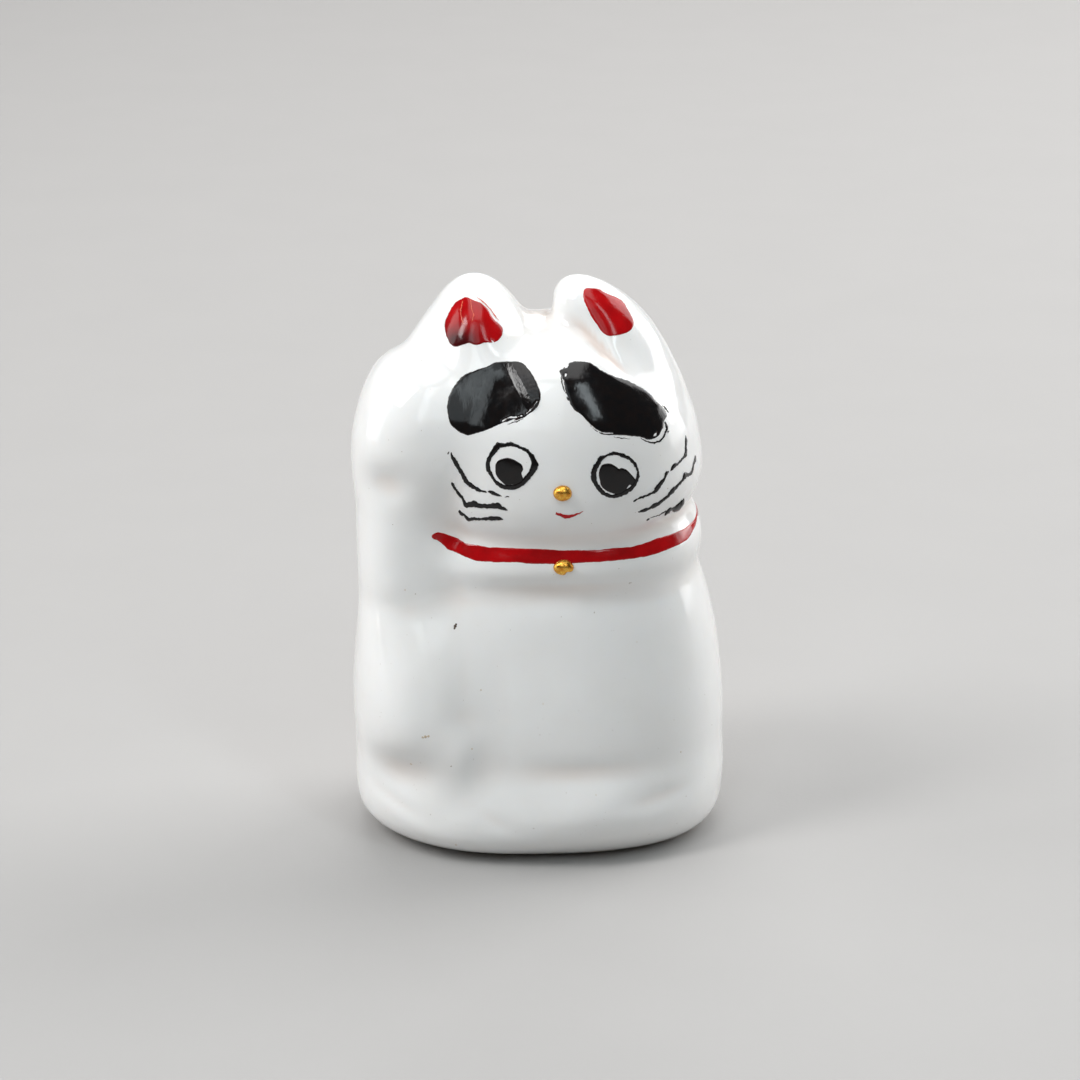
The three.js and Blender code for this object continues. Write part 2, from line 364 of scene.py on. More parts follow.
def mesh_object(name, points, faces, finishes, attributes=None):
    """Smooth mesh object in the shared frame from points of the form and faces of one size."""
    mesh = bpy.data.meshes.new(name)
    faces = np.asarray(faces, dtype=np.int32)
    mesh.vertices.add(len(points))
    mesh.vertices.foreach_set("co", placed(points).astype(np.float32).ravel())
    sides = faces.shape[1]
    mesh.loops.add(faces.size)
    mesh.loops.foreach_set("vertex_index", faces.ravel())
    mesh.polygons.add(len(faces))
    mesh.polygons.foreach_set("loop_start", np.arange(len(faces), dtype=np.int32) * sides)
    mesh.polygons.foreach_set("loop_total", np.full(len(faces), sides, dtype=np.int32))
    mesh.update(calc_edges=True)
    mesh.validate()
    mesh.shade_smooth()
    for finish in finishes:
        mesh.materials.append(finish)
    for label, values in (attributes or {}).items():
        layer = mesh.attributes.new(label, "FLOAT", "POINT")
        layer.data.foreach_set("value", np.asarray(values, dtype=np.float32))
    made = bpy.data.objects.new(name, mesh)
    bpy.context.scene.collection.objects.link(made)
    return made


def as_piece(made):
    """Lets a finished piece ride with the figure."""
    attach(made, "root")
    return made


def smooth_curve(points, closed, per_span=8):
    """Even curve through a few points, and through any widths that go with them."""
    points = np.asarray(points, float)
    count = len(points)
    spans = count if closed else count - 1
    made = []
    for span in range(spans):
        picks = np.arange(span - 1, span + 3)
        picks = picks % count if closed else np.clip(picks, 0, count - 1)
        a, b, c, d = points[picks]
        for t in np.arange(per_span) / per_span:
            made.append(0.5 * (
                2 * b + (c - a) * t
                + (2 * a - 5 * b + 4 * c - d) * t**2
                + (3 * b - a - 3 * c + d) * t**3
            ))
    if not closed:
        made.append(points[-1])
    return np.array(made)


def distance_to_line(spots, line, closed):
    """Distance of flat spots to a line of points, less the width that goes with its points."""
    ends = np.roll(line, -1, axis=0) if closed else line[1:]
    starts = line if closed else line[:-1]
    nearest = np.full(len(spots), np.inf)
    for start, end in zip(starts, ends):
        span = (end - start)[:2]
        offset = spots - start[:2]
        share = np.clip(offset @ span / (span @ span + 1e-12), 0, 1)
        gap = np.linalg.norm(offset - share[:, None] * span, axis=1)
        if line.shape[1] > 2:
            gap = gap - (start[2] + (end[2] - start[2]) * share) / 2
        nearest = np.minimum(nearest, gap)
    return nearest


def is_inside(spots, outline):
    """Whether flat spots lie inside a closed outline."""
    x, y = spots.T
    crossings = np.zeros(len(spots), dtype=int)
    for (ax, ay), (bx, by) in zip(outline, np.roll(outline, -1, axis=0)):
        spans = (ay > y) != (by > y)
        with np.errstate(divide="ignore", invalid="ignore"):
            meets = x < ax + (y - ay) * (bx - ax) / (by - ay)
        crossings += spans & meets
    return crossings % 2 == 1


def raised(points, height):
    """Points of the form's surface, lifted to the glaze and by a further height."""
    return points + outward(points) * (wobble(points) + height)[:, None]


def shell_over(points, edge, kept, thickness, lift=None, sunk=0.25):
    """Points, quads and stored values of a closed shell over the kept nodes of a grid.

    The shell stands proud of the glaze well inside its edge, by a further lift where it lies
    thick, and dips under the glaze outside.
    """
    rows, columns = kept.shape
    cells = kept[:-1, :-1] & kept[1:, :-1] & kept[:-1, 1:] & kept[1:, 1:]
    row, column = np.nonzero(cells)
    corners = [(row, column), (row + 1, column), (row + 1, column + 1), (row, column + 1)]
    top = np.stack([a * columns + b for a, b in corners], axis=1)
    used, top = np.unique(top, return_inverse=True)
    top = top.reshape(-1, 4)
    ground = points.reshape(-1, 3)[used]
    reach = edge.ravel()[used]
    more = np.zeros(len(used)) if lift is None else lift.ravel()[used]
    shoulder = 1 - np.exp(-np.maximum(reach, 0) / 0.08)
    rise = np.where(reach > 0, (thickness + more) * shoulder, 0.8 * reach)
    count = len(used)
    sides = np.concatenate([top[:, [i, (i + 1) % 4]] for i in range(4)])
    _, first, times = np.unique(
        np.sort(sides, axis=1), axis=0, return_index=True, return_counts=True
    )
    rim = sides[first[times == 1]]
    walls = np.stack([rim[:, 1], rim[:, 0], rim[:, 0] + count, rim[:, 1] + count], axis=1)
    faces = np.concatenate([top, top[:, ::-1] + count, walls])
    shell = np.concatenate([raised(ground, rise), raised(ground, np.full(count, -sunk))])
    return shell, faces, {"edge": np.tile(reach, 2), "lift": np.tile(more, 2)}


def patch_shell(outline, gaps, thickness, ragged, step=0.75, lift=None):
    """Closed shell of brushed enamel over an outline in the photograph's pixels.

    Gaps are lines of pixels, each with a width, where the brush left the glaze bare, and lift
    tells how much thicker the enamel lies at a pixel.
    """
    curve = smooth_curve(outline, closed=True)
    low = curve.min(axis=0) - 3
    high = curve.max(axis=0) + 3
    columns = np.arange(low[0], high[0], step)
    rows = np.arange(low[1], high[1], step)
    grid = np.stack(np.meshgrid(columns, rows), axis=-1)
    spots = grid.reshape(-1, 2)
    edge = distance_to_line(spots, curve, closed=True)
    edge = np.where(is_inside(spots, curve), edge, -edge)
    for gap in gaps:
        hollow = distance_to_line(spots, smooth_curve(gap, closed=False), closed=False)
        edge = np.minimum(edge, hollow)
    edge = edge / PIXELS_PER_MM
    near = edge > -0.45
    points = np.zeros((len(spots), 3))
    points[near] = on_figure(spots[near])
    edge[near] += ragged * (grain(points[near], 0.5, 3) + 0.6 * grain(points[near], 0.17, 4))
    kept = near & (edge > -0.14)
    shape = grid.shape[:2]
    return shell_over(
        points.reshape(*shape, 3), edge.reshape(shape), kept.reshape(shape), thickness,
        None if lift is None else lift(spots).reshape(shape),
    )


def merged(shells):
    """One set of points, quads and stored values from several shells."""
    start = 0
    faces = []
    for points, quads, _ in shells:
        faces.append(quads + start)
        start += len(points)
    return (
        np.concatenate([shell[0] for shell in shells]),
        np.concatenate(faces),
        {label: np.concatenate([shell[2][label] for shell in shells]) for label in shells[0][2]},
    )


# Finishes


def add(tree, kind, **settings):
    """New node in a tree, with its settings."""
    node = tree.nodes.new(kind)
    for name, value in settings.items():
        setattr(node, name, value)
    return node


def finish_tree(name):
    """New material with its node tree and its shader."""
    finish = bpy.data.materials.new(name)
    finish.use_nodes = True
    tree = finish.node_tree
    return finish, tree, tree.nodes["Principled BSDF"]


def speckle(tree, size, detail=2, rough=0.5):
    """Even random values over the piece that change over a given size in metres."""
    place = add(tree, "ShaderNodeTexCoord")
    texture = add(tree, "ShaderNodeTexNoise")
    texture.inputs["Scale"].default_value = 1 / size
    texture.inputs["Detail"].default_value = detail
    texture.inputs["Roughness"].default_value = rough
    tree.links.new(place.outputs["Object"], texture.inputs["Vector"])
    return texture.outputs["Fac"]


def spread(tree, value, low, high, start=0, end=1):
    """Value stretched from one span to another."""
    node = add(tree, "ShaderNodeMapRange")
    for name, number in (
        ("From Min", low), ("From Max", high), ("To Min", start), ("To Max", end)
    ):
        node.inputs[name].default_value = number
    tree.links.new(value, node.inputs["Value"])
    return node.outputs["Result"]


def blended(tree, share, first, second):
    """Colour between two colours or sockets, by a share."""
    node = add(tree, "ShaderNodeMix", data_type="RGBA")
    for socket, colour in ((node.inputs[6], first), (node.inputs[7], second)):
        if isinstance(colour, bpy.types.NodeSocket):
            tree.links.new(colour, socket)
        else:
            socket.default_value = (*colour, 1)
    tree.links.new(share, node.inputs[0])
    return node.outputs[2]


def bumped(tree, shader, height, distance, strength=1, under=None):
    """Relief in the shader's normal from a height, over any relief under it."""
    node = add(tree, "ShaderNodeBump")
    node.inputs["Strength"].default_value = strength
    node.inputs["Distance"].default_value = distance
    tree.links.new(height, node.inputs["Height"])
    if under is not None:
        tree.links.new(under, node.inputs["Normal"])
    tree.links.new(node.outputs["Normal"], shader.inputs["Normal"])
    return node.outputs["Normal"]


def attribute(tree, name):
    """Value that a piece stores at its points."""
    node = add(tree, "ShaderNodeAttribute", attribute_name=name)
    return node.outputs["Fac"]


def white_glaze(settings):
    """Clear-over-white glaze: cooler where thin, with a painted warm shade in its creases, bare at
    the foot.
    """
    finish, tree, shader = finish_tree("white glaze")
    patch = spread(tree, speckle(tree, 0.009, 3), 0.35, 0.65)
    colour = blended(tree, patch, settings.glaze_colour, settings.glaze_shade)
    # Painted shade: a warmer, darker white laid into the creases, by how hollow the form is there.
    colour = blended(tree, attribute(tree, "crease_shade"), colour, settings.crease_shade_colour)
    pits = spread(tree, speckle(tree, 0.00035, 1), 0.79, 0.83)
    colour = blended(tree, pits, colour, (0.34, 0.27, 0.2))
    place = add(tree, "ShaderNodeTexCoord")
    axes = add(tree, "ShaderNodeSeparateXYZ")
    tree.links.new(place.outputs["Object"], axes.inputs[0])
    line = add(tree, "ShaderNodeMath", operation="SUBTRACT")
    tree.links.new(axes.outputs["Z"], line.inputs[0])
    tree.links.new(
        spread(tree, speckle(tree, 0.0025, 4), 0.3, 0.7, 0, 2 * settings.bare_foot), line.inputs[1]
    )
    glazed = spread(tree, line.outputs[0], -0.00005, 0.0001)
    colour = blended(tree, glazed, settings.clay_colour, colour)
    tree.links.new(colour, shader.inputs["Base Color"])
    sheen = spread(tree, speckle(tree, 0.004, 3), 0.3, 0.7, 0.07, 0.12)
    dull = add(tree, "ShaderNodeMix", data_type="FLOAT")
    tree.links.new(glazed, dull.inputs[0])
    dull.inputs[2].default_value = 0.85
    tree.links.new(sheen, dull.inputs[3])
    tree.links.new(dull.outputs[0], shader.inputs["Roughness"])
    shader.inputs["IOR"].default_value = 1.5
    shader.inputs["Subsurface Weight"].default_value = 0.15
    shader.inputs["Subsurface Radius"].default_value = (1, 0.85, 0.7)
    shader.inputs["Subsurface Scale"].default_value = 0.0008
    peel = bumped(tree, shader, speckle(tree, 0.0011, 2), 0.00001)
    bumped(tree, shader, speckle(tree, 0.0035, 1), 0.00004, under=peel)
    return finish


def bare_clay(settings):
    """Unglazed clay of the underside, matt and faintly gritty."""
    finish, tree, shader = finish_tree("bare clay")
    patch = spread(tree, speckle(tree, 0.0016, 5, 0.7), 0.35, 0.65)
    warm = tuple(0.82 * part for part in settings.clay_colour)
    colour = blended(tree, patch, settings.clay_colour, warm)
    grit = spread(tree, speckle(tree, 0.0004, 1), 0.68, 0.74)
    tree.links.new(blended(tree, grit, colour, (0.3, 0.22, 0.16)), shader.inputs["Base Color"])
    shader.inputs["Roughness"].default_value = 0.88
    bumped(tree, shader, speckle(tree, 0.0003, 4, 0.7), 0.00006)
    return finish


def wrinkles(tree):
    """Fine wrinkles drawn out along a steep slant, as in enamel that dried on a slope."""
    place = add(tree, "ShaderNodeTexCoord")
    slant = add(tree, "ShaderNodeMapping")
    slant.inputs["Rotation"].default_value = (0, math.radians(-25), 0)
    slant.inputs["Scale"].default_value = (1, 1, 0.28)
    texture = add(tree, "ShaderNodeTexNoise")
    texture.inputs["Scale"].default_value = 1 / 0.0003
    texture.inputs["Detail"].default_value = 3
    tree.links.new(place.outputs["Object"], slant.inputs["Vector"])
    tree.links.new(slant.outputs[0], texture.inputs["Vector"])
    return texture.outputs["Fac"]


def black_enamel(settings):
    """Glossy black brushed on thick: browner at a thin edge, wrinkled where it folded."""
    finish, tree, shader = finish_tree("black enamel")
    patch = spread(tree, speckle(tree, 0.0009, 4), 0.35, 0.7)
    colour = blended(tree, patch, settings.black_colour, (0.006, 0.0035, 0.003))
    thin = spread(tree, attribute(tree, "edge"), 0, 0.09)
    colour = blended(tree, thin, settings.black_edge, colour)
    tree.links.new(colour, shader.inputs["Base Color"])
    gloss = spread(tree, speckle(tree, 0.0011, 4), 0.3, 0.7, 0.06, 0.16)
    tree.links.new(gloss, shader.inputs["Roughness"])
    shader.inputs["IOR"].default_value = 1.42
    uneven = bumped(tree, shader, speckle(tree, 0.0022, 2), 0.00004)
    height = add(tree, "ShaderNodeMath", operation="MULTIPLY")
    tree.links.new(wrinkles(tree), height.inputs[0])
    tree.links.new(spread(tree, attribute(tree, "lift"), 0.02, 0.1, 0.12, 1), height.inputs[1])
    bumped(tree, shader, height.outputs[0], 0.00006, under=uneven)
    return finish


def red_enamel(settings, thin=False):
    """Glossy red, darkened as painted shade where it lies thick and paler at its thin edge; the
    thin kind is pale all over and serves as painted highlight lines.
    """
    finish, tree, shader = finish_tree("red highlight enamel" if thin else "red enamel")
    patch = spread(tree, speckle(tree, 0.0022, 3), 0.35, 0.65)
    # The thin kind is a painted highlight: pale red all over.
    full = settings.red_thin_edge_and_highlight if thin else settings.red_colour
    colour = blended(tree, patch, full, tuple(0.75 * part for part in full))
    # Painted shade: the red goes dark where the enamel lies thick, low in the left ear.
    thick_shade_share = spread(tree, attribute(tree, "lift"), 0.01, 0.075)
    colour = blended(tree, thick_shade_share, colour, settings.red_thick_shade)
    inside = spread(tree, attribute(tree, "edge"), -0.04, 0.03)
    colour = blended(tree, inside, settings.red_thin_edge_and_highlight, colour)
    tree.links.new(colour, shader.inputs["Base Color"])
    gloss = spread(tree, speckle(tree, 0.0012, 3), 0.3, 0.7, 0.1, 0.18)
    tree.links.new(gloss, shader.inputs["Roughness"])
    shader.inputs["IOR"].default_value = 1.4
    fine = bumped(tree, shader, speckle(tree, 0.0007, 3), 0.00001)
    bumped(tree, shader, speckle(tree, 0.0025, 1), 0.00003, under=fine)
    return finish


def gold_enamel(settings):
    """Gold paint in a thick drop, its gold warmed toward orange as a painted reflection, and
    browner in random patches.
    """
    finish, tree, shader = finish_tree("gold enamel")
    patch = spread(tree, speckle(tree, 0.0005, 4), 0.35, 0.65)
    # Painted reflection: the deep orange gold, laid in random patches.
    colour = blended(tree, patch, settings.gold_colour, settings.deep_gold_reflection)
    tree.links.new(colour, shader.inputs["Base Color"])
    shader.inputs["Metallic"].default_value = 1
    gloss = spread(tree, speckle(tree, 0.0003, 3), 0.3, 0.7, 0.2, 0.36)
    tree.links.new(gloss, shader.inputs["Roughness"])
    bumped(tree, shader, speckle(tree, 0.0004, 3), 0.00004)
    return finish


def speck_finish(name, dark, pale):
    """Brown of iron specks that came through the glaze, between a dark and a pale shade."""
    finish, tree, shader = finish_tree(name)
    patch = spread(tree, speckle(tree, 0.0001, 3), 0.35, 0.65)
    tree.links.new(blended(tree, patch, dark, pale), shader.inputs["Base Color"])
    shader.inputs["Roughness"].default_value = 0.35
    bumped(tree, shader, speckle(tree, 0.0001, 2), 0.00001)
    return finish


def floor_finish(settings):
    """Plain pale paper of the stage, with a faint tooth."""
    finish, tree, shader = finish_tree("stage paper")
    patch = spread(tree, speckle(tree, 0.02, 3), 0.3, 0.7)
    shade = tuple(0.985 * part for part in settings.floor_colour)
    colour = blended(tree, patch, settings.floor_colour, shade)
    tree.links.new(colour, shader.inputs["Base Color"])
    shader.inputs["Roughness"].default_value = 0.7
    bumped(tree, shader, speckle(tree, 0.0006, 3), 0.00002)
    return finish


# Node trees that lay strokes and specks


def new_geometry_tree(name, inputs):
    """Geometry tree with a geometry in and out and named inputs; gives its two end nodes."""
    tree = bpy.data.node_groups.new(name, "GeometryNodeTree")
    sockets = tree.interface
    sockets.new_socket("Geometry", in_out="INPUT", socket_type="NodeSocketGeometry")
    sockets.new_socket("Geometry", in_out="OUTPUT", socket_type="NodeSocketGeometry")
    for label, kind in inputs:
        sockets.new_socket(label, in_out="INPUT", socket_type=kind)
    return tree, add(tree, "NodeGroupInput"), add(tree, "NodeGroupOutput")


def linked(tree, *pairs):
    """Links pairs of sockets."""
    for start, end in pairs:
        tree.links.new(start, end)


def roughened(tree, geometry, given):
    """Moves points sideways by a fine random amount, along the surface that they lie on."""
    place = add(tree, "GeometryNodeInputPosition")
    texture = add(tree, "ShaderNodeTexNoise")
    texture.inputs["Detail"].default_value = 2
    middle = add(tree, "ShaderNodeVectorMath", operation="SUBTRACT")
    middle.inputs[1].default_value = (0.5, 0.5, 0.5)
    facing = add(tree, "GeometryNodeInputNamedAttribute", data_type="FLOAT_VECTOR")
    facing.inputs["Name"].default_value = "facing"
    along = add(tree, "ShaderNodeVectorMath", operation="DOT_PRODUCT")
    straight = add(tree, "ShaderNodeVectorMath", operation="SCALE")
    sideways = add(tree, "ShaderNodeVectorMath", operation="SUBTRACT")
    amount = add(tree, "ShaderNodeVectorMath", operation="SCALE")
    move = add(tree, "GeometryNodeSetPosition")
    linked(
        tree,
        (place.outputs[0], texture.inputs["Vector"]),
        (given.outputs["Grain"], texture.inputs["Scale"]),
        (texture.outputs["Color"], middle.inputs[0]),
        (middle.outputs[0], along.inputs[0]),
        (facing.outputs["Attribute"], along.inputs[1]),
        (facing.outputs["Attribute"], straight.inputs[0]),
        (along.outputs["Value"], straight.inputs["Scale"]),
        (middle.outputs[0], sideways.inputs[0]),
        (straight.outputs[0], sideways.inputs[1]),
        (sideways.outputs[0], amount.inputs[0]),
        (given.outputs["Raggedness"], amount.inputs["Scale"]),
        (geometry, move.inputs["Geometry"]),
        (amount.outputs[0], move.inputs["Offset"]),
    )
    return move.outputs[0]


def finished(tree, geometry, given, end):
    """Ends a tree: smooth shading, real instances and the finish."""
    smooth = add(tree, "GeometryNodeSetShadeSmooth")
    real = add(tree, "GeometryNodeRealizeInstances")
    paint = add(tree, "GeometryNodeSetMaterial")
    linked(
        tree,
        (geometry, smooth.inputs["Geometry"]),
        (smooth.outputs[0], real.inputs[0]),
        (real.outputs[0], paint.inputs["Geometry"]),
        (given.outputs["Finish"], paint.inputs["Material"]),
        (paint.outputs[0], end.inputs[0]),
    )


def stroke_tree():
    """Tree that sweeps a flat rounded brush stroke along lines that lie on the glaze."""
    tree, given, end = new_geometry_tree("brush stroke", (
        ("Step", "NodeSocketFloat"),
        ("Flatness", "NodeSocketFloat"),
        ("Raggedness", "NodeSocketFloat"),
        ("Grain", "NodeSocketFloat"),
        ("Finish", "NodeSocketMaterial"),
    ))
    curve = add(tree, "GeometryNodeMeshToCurve")
    even = add(tree, "GeometryNodeResampleCurve", mode="LENGTH")
    width = add(tree, "GeometryNodeInputNamedAttribute", data_type="FLOAT")
    width.inputs["Name"].default_value = "half_width"
    facing = add(tree, "GeometryNodeInputNamedAttribute", data_type="FLOAT_VECTOR")
    facing.inputs["Name"].default_value = "facing"
    turn = add(tree, "GeometryNodeSetCurveNormal", mode="FREE")
    profile = add(tree, "GeometryNodeCurvePrimitiveCircle", mode="RADIUS")
    profile.inputs["Resolution"].default_value = 12
    profile.inputs["Radius"].default_value = 1
    scale = add(tree, "ShaderNodeCombineXYZ")
    scale.inputs["Y"].default_value = 1
    scale.inputs["Z"].default_value = 1
    flat = add(tree, "GeometryNodeTransform")
    sweep = add(tree, "GeometryNodeCurveToMesh")
    sweep.inputs["Fill Caps"].default_value = True
    store = add(tree, "GeometryNodeStoreNamedAttribute", data_type="FLOAT", domain="POINT")
    store.inputs["Name"].default_value = "edge"
    depth = add(tree, "ShaderNodeMath", operation="MULTIPLY")
    depth.inputs[1].default_value = 0.7 / MM
    linked(
        tree,
        (given.outputs["Geometry"], curve.inputs[0]),
        (curve.outputs[0], even.inputs["Curve"]),
        (given.outputs["Step"], even.inputs["Length"]),
        (even.outputs[0], turn.inputs["Curve"]),
        (facing.outputs["Attribute"], turn.inputs["Normal"]),
        (given.outputs["Flatness"], scale.inputs["X"]),
        (profile.outputs[0], flat.inputs["Geometry"]),
        (scale.outputs[0], flat.inputs["Scale"]),
        (turn.outputs[0], sweep.inputs["Curve"]),
        (flat.outputs[0], sweep.inputs["Profile Curve"]),
        (width.outputs["Attribute"], sweep.inputs["Scale"]),
        (sweep.outputs[0], store.inputs["Geometry"]),
        (width.outputs["Attribute"], depth.inputs[0]),
        (depth.outputs[0], store.inputs["Value"]),
    )
    finished(tree, roughened(tree, store.outputs[0], given), given, end)
    return tree


def speck_tree():
    """Tree that sets a small flattened drop at each point, turned to face out of the glaze."""
    tree, given, end = new_geometry_tree("glaze specks", (
        ("Height", "NodeSocketFloat"),
        ("Raggedness", "NodeSocketFloat"),
        ("Grain", "NodeSocketFloat"),
        ("Finish", "NodeSocketMaterial"),
    ))
    drop = add(tree, "GeometryNodeMeshIcoSphere")
    drop.inputs["Radius"].default_value = 1
    drop.inputs["Subdivisions"].default_value = 3
    scale = add(tree, "ShaderNodeCombineXYZ")
    scale.inputs["X"].default_value = 1
    scale.inputs["Y"].default_value = 1
    flat = add(tree, "GeometryNodeTransform")
    facing = add(tree, "GeometryNodeInputNamedAttribute", data_type="FLOAT_VECTOR")
    facing.inputs["Name"].default_value = "facing"
    size = add(tree, "GeometryNodeInputNamedAttribute", data_type="FLOAT")
    size.inputs["Name"].default_value = "half_width"
    turn = add(tree, "FunctionNodeAlignRotationToVector", axis="Z")
    place = add(tree, "GeometryNodeInstanceOnPoints")
    real = add(tree, "GeometryNodeRealizeInstances")
    linked(
        tree,
        (given.outputs["Height"], scale.inputs["Z"]),
        (drop.outputs[0], flat.inputs["Geometry"]),
        (scale.outputs[0], flat.inputs["Scale"]),
        (facing.outputs["Attribute"], turn.inputs["Vector"]),
        (given.outputs["Geometry"], place.inputs["Points"]),
        (flat.outputs[0], place.inputs["Instance"]),
        (turn.outputs[0], place.inputs["Rotation"]),
        (size.outputs["Attribute"], place.inputs["Scale"]),
        (place.outputs[0], real.inputs[0]),
    )
    finished(tree, roughened(tree, real.outputs[0], given), given, end)
    return tree


def half_widths(line):
    """Steps in pixels from the middle of a stroke to its side, square to its run."""
    run = np.gradient(line[:, :2], axis=0) if len(line) > 1 else np.array([[0.0, 1.0]])
    across = np.stack([-run[:, 1], run[:, 0]], axis=1)
    across /= np.linalg.norm(across, axis=1)[:, None] + 1e-9
    return across * line[:, 2:3] / 2


def laid(name, tree, lines, closed, height, values):
    """Plain mesh that a tree lays along lines of pixels, each point with a full width.

    Lines of one point are single specks. The tree's inputs are set by name from the values.
    """
    pixels = np.concatenate([np.asarray(line, float)[:, :2] for line in lines])
    aside = np.concatenate([half_widths(np.asarray(line, float)) for line in lines])
    widths = np.linalg.norm(on_figure(pixels + aside) - on_figure(pixels - aside), axis=1)
    ground = on_figure(pixels)
    facing = outward(ground)
    mesh = bpy.data.meshes.new(name)
    edges = []
    start = 0
    for line in lines:
        count = len(line)
        edges += [(start + i, start + i + 1) for i in range(count - 1)]
        if closed:
            edges.append((start + count - 1, start))
        start += count
    mesh.from_pydata(placed(raised(ground, np.full(len(ground), height))).tolist(), edges, [])
    layer = mesh.attributes.new("half_width", "FLOAT", "POINT")
    layer.data.foreach_set("value", (widths / 2 * MM).astype(np.float32))
    layer = mesh.attributes.new("facing", "FLOAT_VECTOR", "POINT")
    layer.data.foreach_set("vector", facing.astype(np.float32).ravel())
    made = bpy.data.objects.new(name, mesh)
    bpy.context.scene.collection.objects.link(made)
    modifier = made.modifiers.new("lay", "NODES")
    modifier.node_group = tree
    for socket in tree.interface.items_tree:
        if socket.in_out == "INPUT" and socket.name in values:
            modifier[socket.identifier] = values[socket.name]
    graph = bpy.context.evaluated_depsgraph_get()
    final = bpy.data.meshes.new_from_object(
        made.evaluated_get(graph), preserve_all_data_layers=True, depsgraph=graph
    )
    made.modifiers.clear()
    made.data = final
    final.name = name
    bpy.data.meshes.remove(mesh)
    return made


def brushed(name, strokes, closed, settings, finish, flatness=0.25, rise=0.01):
    """Brush strokes of one piece, smoothed through the points measured on the photograph."""
    lines = [smooth_curve(stroke, closed) for stroke in strokes]
    return laid(name, stroke_tree(), lines, closed, rise, {
        "Step": settings.stroke_step,
        "Flatness": flatness,
        "Raggedness": settings.stroke_ragged,
        "Grain": 1 / settings.stroke_grain,
        "Finish": finish,
    })


# Marks measured on the photograph, in its pixels; a third number is a width

LEFT_BROW = (
    (495.5, 362), (508.8, 361.4), (519.5, 361.7), (527.8, 368.2), (537, 383.1), (540.7, 396.4),
    (536.1, 408), (525.3, 416.7), (517.1, 420), (503.4, 422.9), (488, 429.5), (472.3, 434.5),
    (463.5, 434), (451.6, 425.4), (447.8, 413), (447.8, 398.9), (454.9, 384.8), (463.2, 375.7),
    (475, 370.2), (488, 366.1),
)
LEFT_BROW_GAPS = (
    ((502.6, 421, 0.6), (508.8, 417.6, 1.3), (516, 417.2, 1), (522, 415.6, 0.3)),
    ((505, 423, 0.3), (511.3, 420.9, 1), (518.5, 418.2, 0.4)),
    ((526.5, 413.6, 0.4), (531.5, 408.6, 1.2), (537.6, 401, 0.5)),
)
RIGHT_BROW = (
    (559.7, 371.3), (563.8, 367.7), (570.9, 362.3), (580.7, 361.3), (589.6, 362.8), (595.9, 366.3),
    (602.1, 370.8), (616.4, 377.1), (628, 380.6), (645.9, 390.4), (653.4, 398), (660.9, 405.6),
    (664.8, 410), (667, 415.4), (664.4, 420.6), (663.6, 426), (661.6, 431), (659, 435.6),
    (654.6, 438.4), (648, 439.6), (641, 437.2), (628.9, 435.8),
    (612.9, 435.1), (603, 434.6), (595, 430.2), (588.8, 423.9), (582.5, 415.9), (575.4, 410.5),
    (570.9, 405.2), (568.7, 398.9), (565.5, 390.9), (563, 380),
)
RIGHT_BROW_GAPS = (
    ((564.6, 368.2, 0.3), (567, 366.2, 2), (569.3, 364.2, 0.3)),
    ((565.8, 374.5, 2), (565.3, 376, 0.4)),
    ((586.4, 420.6, 0.3), (593, 427.4, 1.1), (602, 432.5, 0.9), (613, 433.2, 0.3)),
    ((657.2, 431.4, 0.3), (655.6, 434.2, 1.6), (653.6, 436.4, 0.4)),
)
BROW_HAIRLINES = (
    ((664.6, 421.6, 1.2), (666.4, 425.4, 2.6), (667, 428.4, 2.2), (665.6, 432, 1.8),
     (663.8, 436.2, 1.7), (660.9, 440.2, 1.7), (657.4, 442, 1.9), (653.4, 442.8, 1.8),
     (649.3, 442.2, 1.4), (644.7, 440.5, 1), (640.7, 438, 0.5)),
    ((662.4, 405.4, 0.5), (665.4, 408.4, 1.4), (668.7, 412.8, 0.8)),
    ((669, 430.4, 0.7), (667.6, 432.4, 1.5)),
    ((561.5, 374.6, 0.8), (561.8, 382, 1.4), (563.4, 388.6, 1.1), (565.3, 393, 0.6)),
    ((566.8, 396.8, 0.8), (568, 399, 1.4), (568.2, 401, 0.6)),
    ((507, 424.4, 0.3), (515, 422.2, 1), (523, 418.8, 0.5)),
    ((614, 437, 0.3), (622, 438, 0.8), (630, 438.8, 0.3)),
)
LEFT_EAR = (
    (466.7, 297), (473.6, 300), (481.7, 303.5), (487.4, 309), (493.7, 319), (502, 327),
    (501.8, 335.7), (495, 342), (484.5, 342.6), (476, 345), (469, 342.9), (462, 345),
    (455, 346.6), (449.5, 342.6), (445.5, 333), (444.6, 323), (449, 312), (454.7, 303),
    (462, 298.4),
)
LEFT_EAR_GAPS = (((490.6, 339.6, 0.3), (493.2, 341.8, 1.2), (495, 343.6, 0.8)),)
# Pale red lines in the left ear lining: painted highlights, laid as raised strokes.
EAR_HIGHLIGHT_LINES = (
    ((462.8, 301.6, 0.6), (461.6, 307.5, 1), (460.8, 312.4, 0.7), (462, 318.2, 1),
     (463.2, 323.1, 1), (464.9, 325, 0.5)),
    ((471.1, 300.2, 0.8), (471.1, 305.8, 1.1), (472.3, 310.8, 0.8), (473.5, 314.5, 1.1),
     (473.1, 318.2, 0.8), (471.5, 322, 0.5)),
    ((477.4, 297.8, 0.4), (484, 303.2, 0.9), (490.5, 310, 0.8), (494.4, 315.6, 0.9),
     (498, 320.4, 0.4)),
)
RIGHT_EAR = (
    (584.7, 289), (592, 288.2), (599.8, 289), (604, 292), (618, 298), (624, 302.6),
    (627.7, 309), (632, 317), (633.8, 323), (632, 328.6), (627, 332.6), (615.6, 335.6),
    (608, 335.6), (601.7, 331.7), (596.8, 324.4), (592, 317.7), (587.7, 309), (583.4, 298),
)
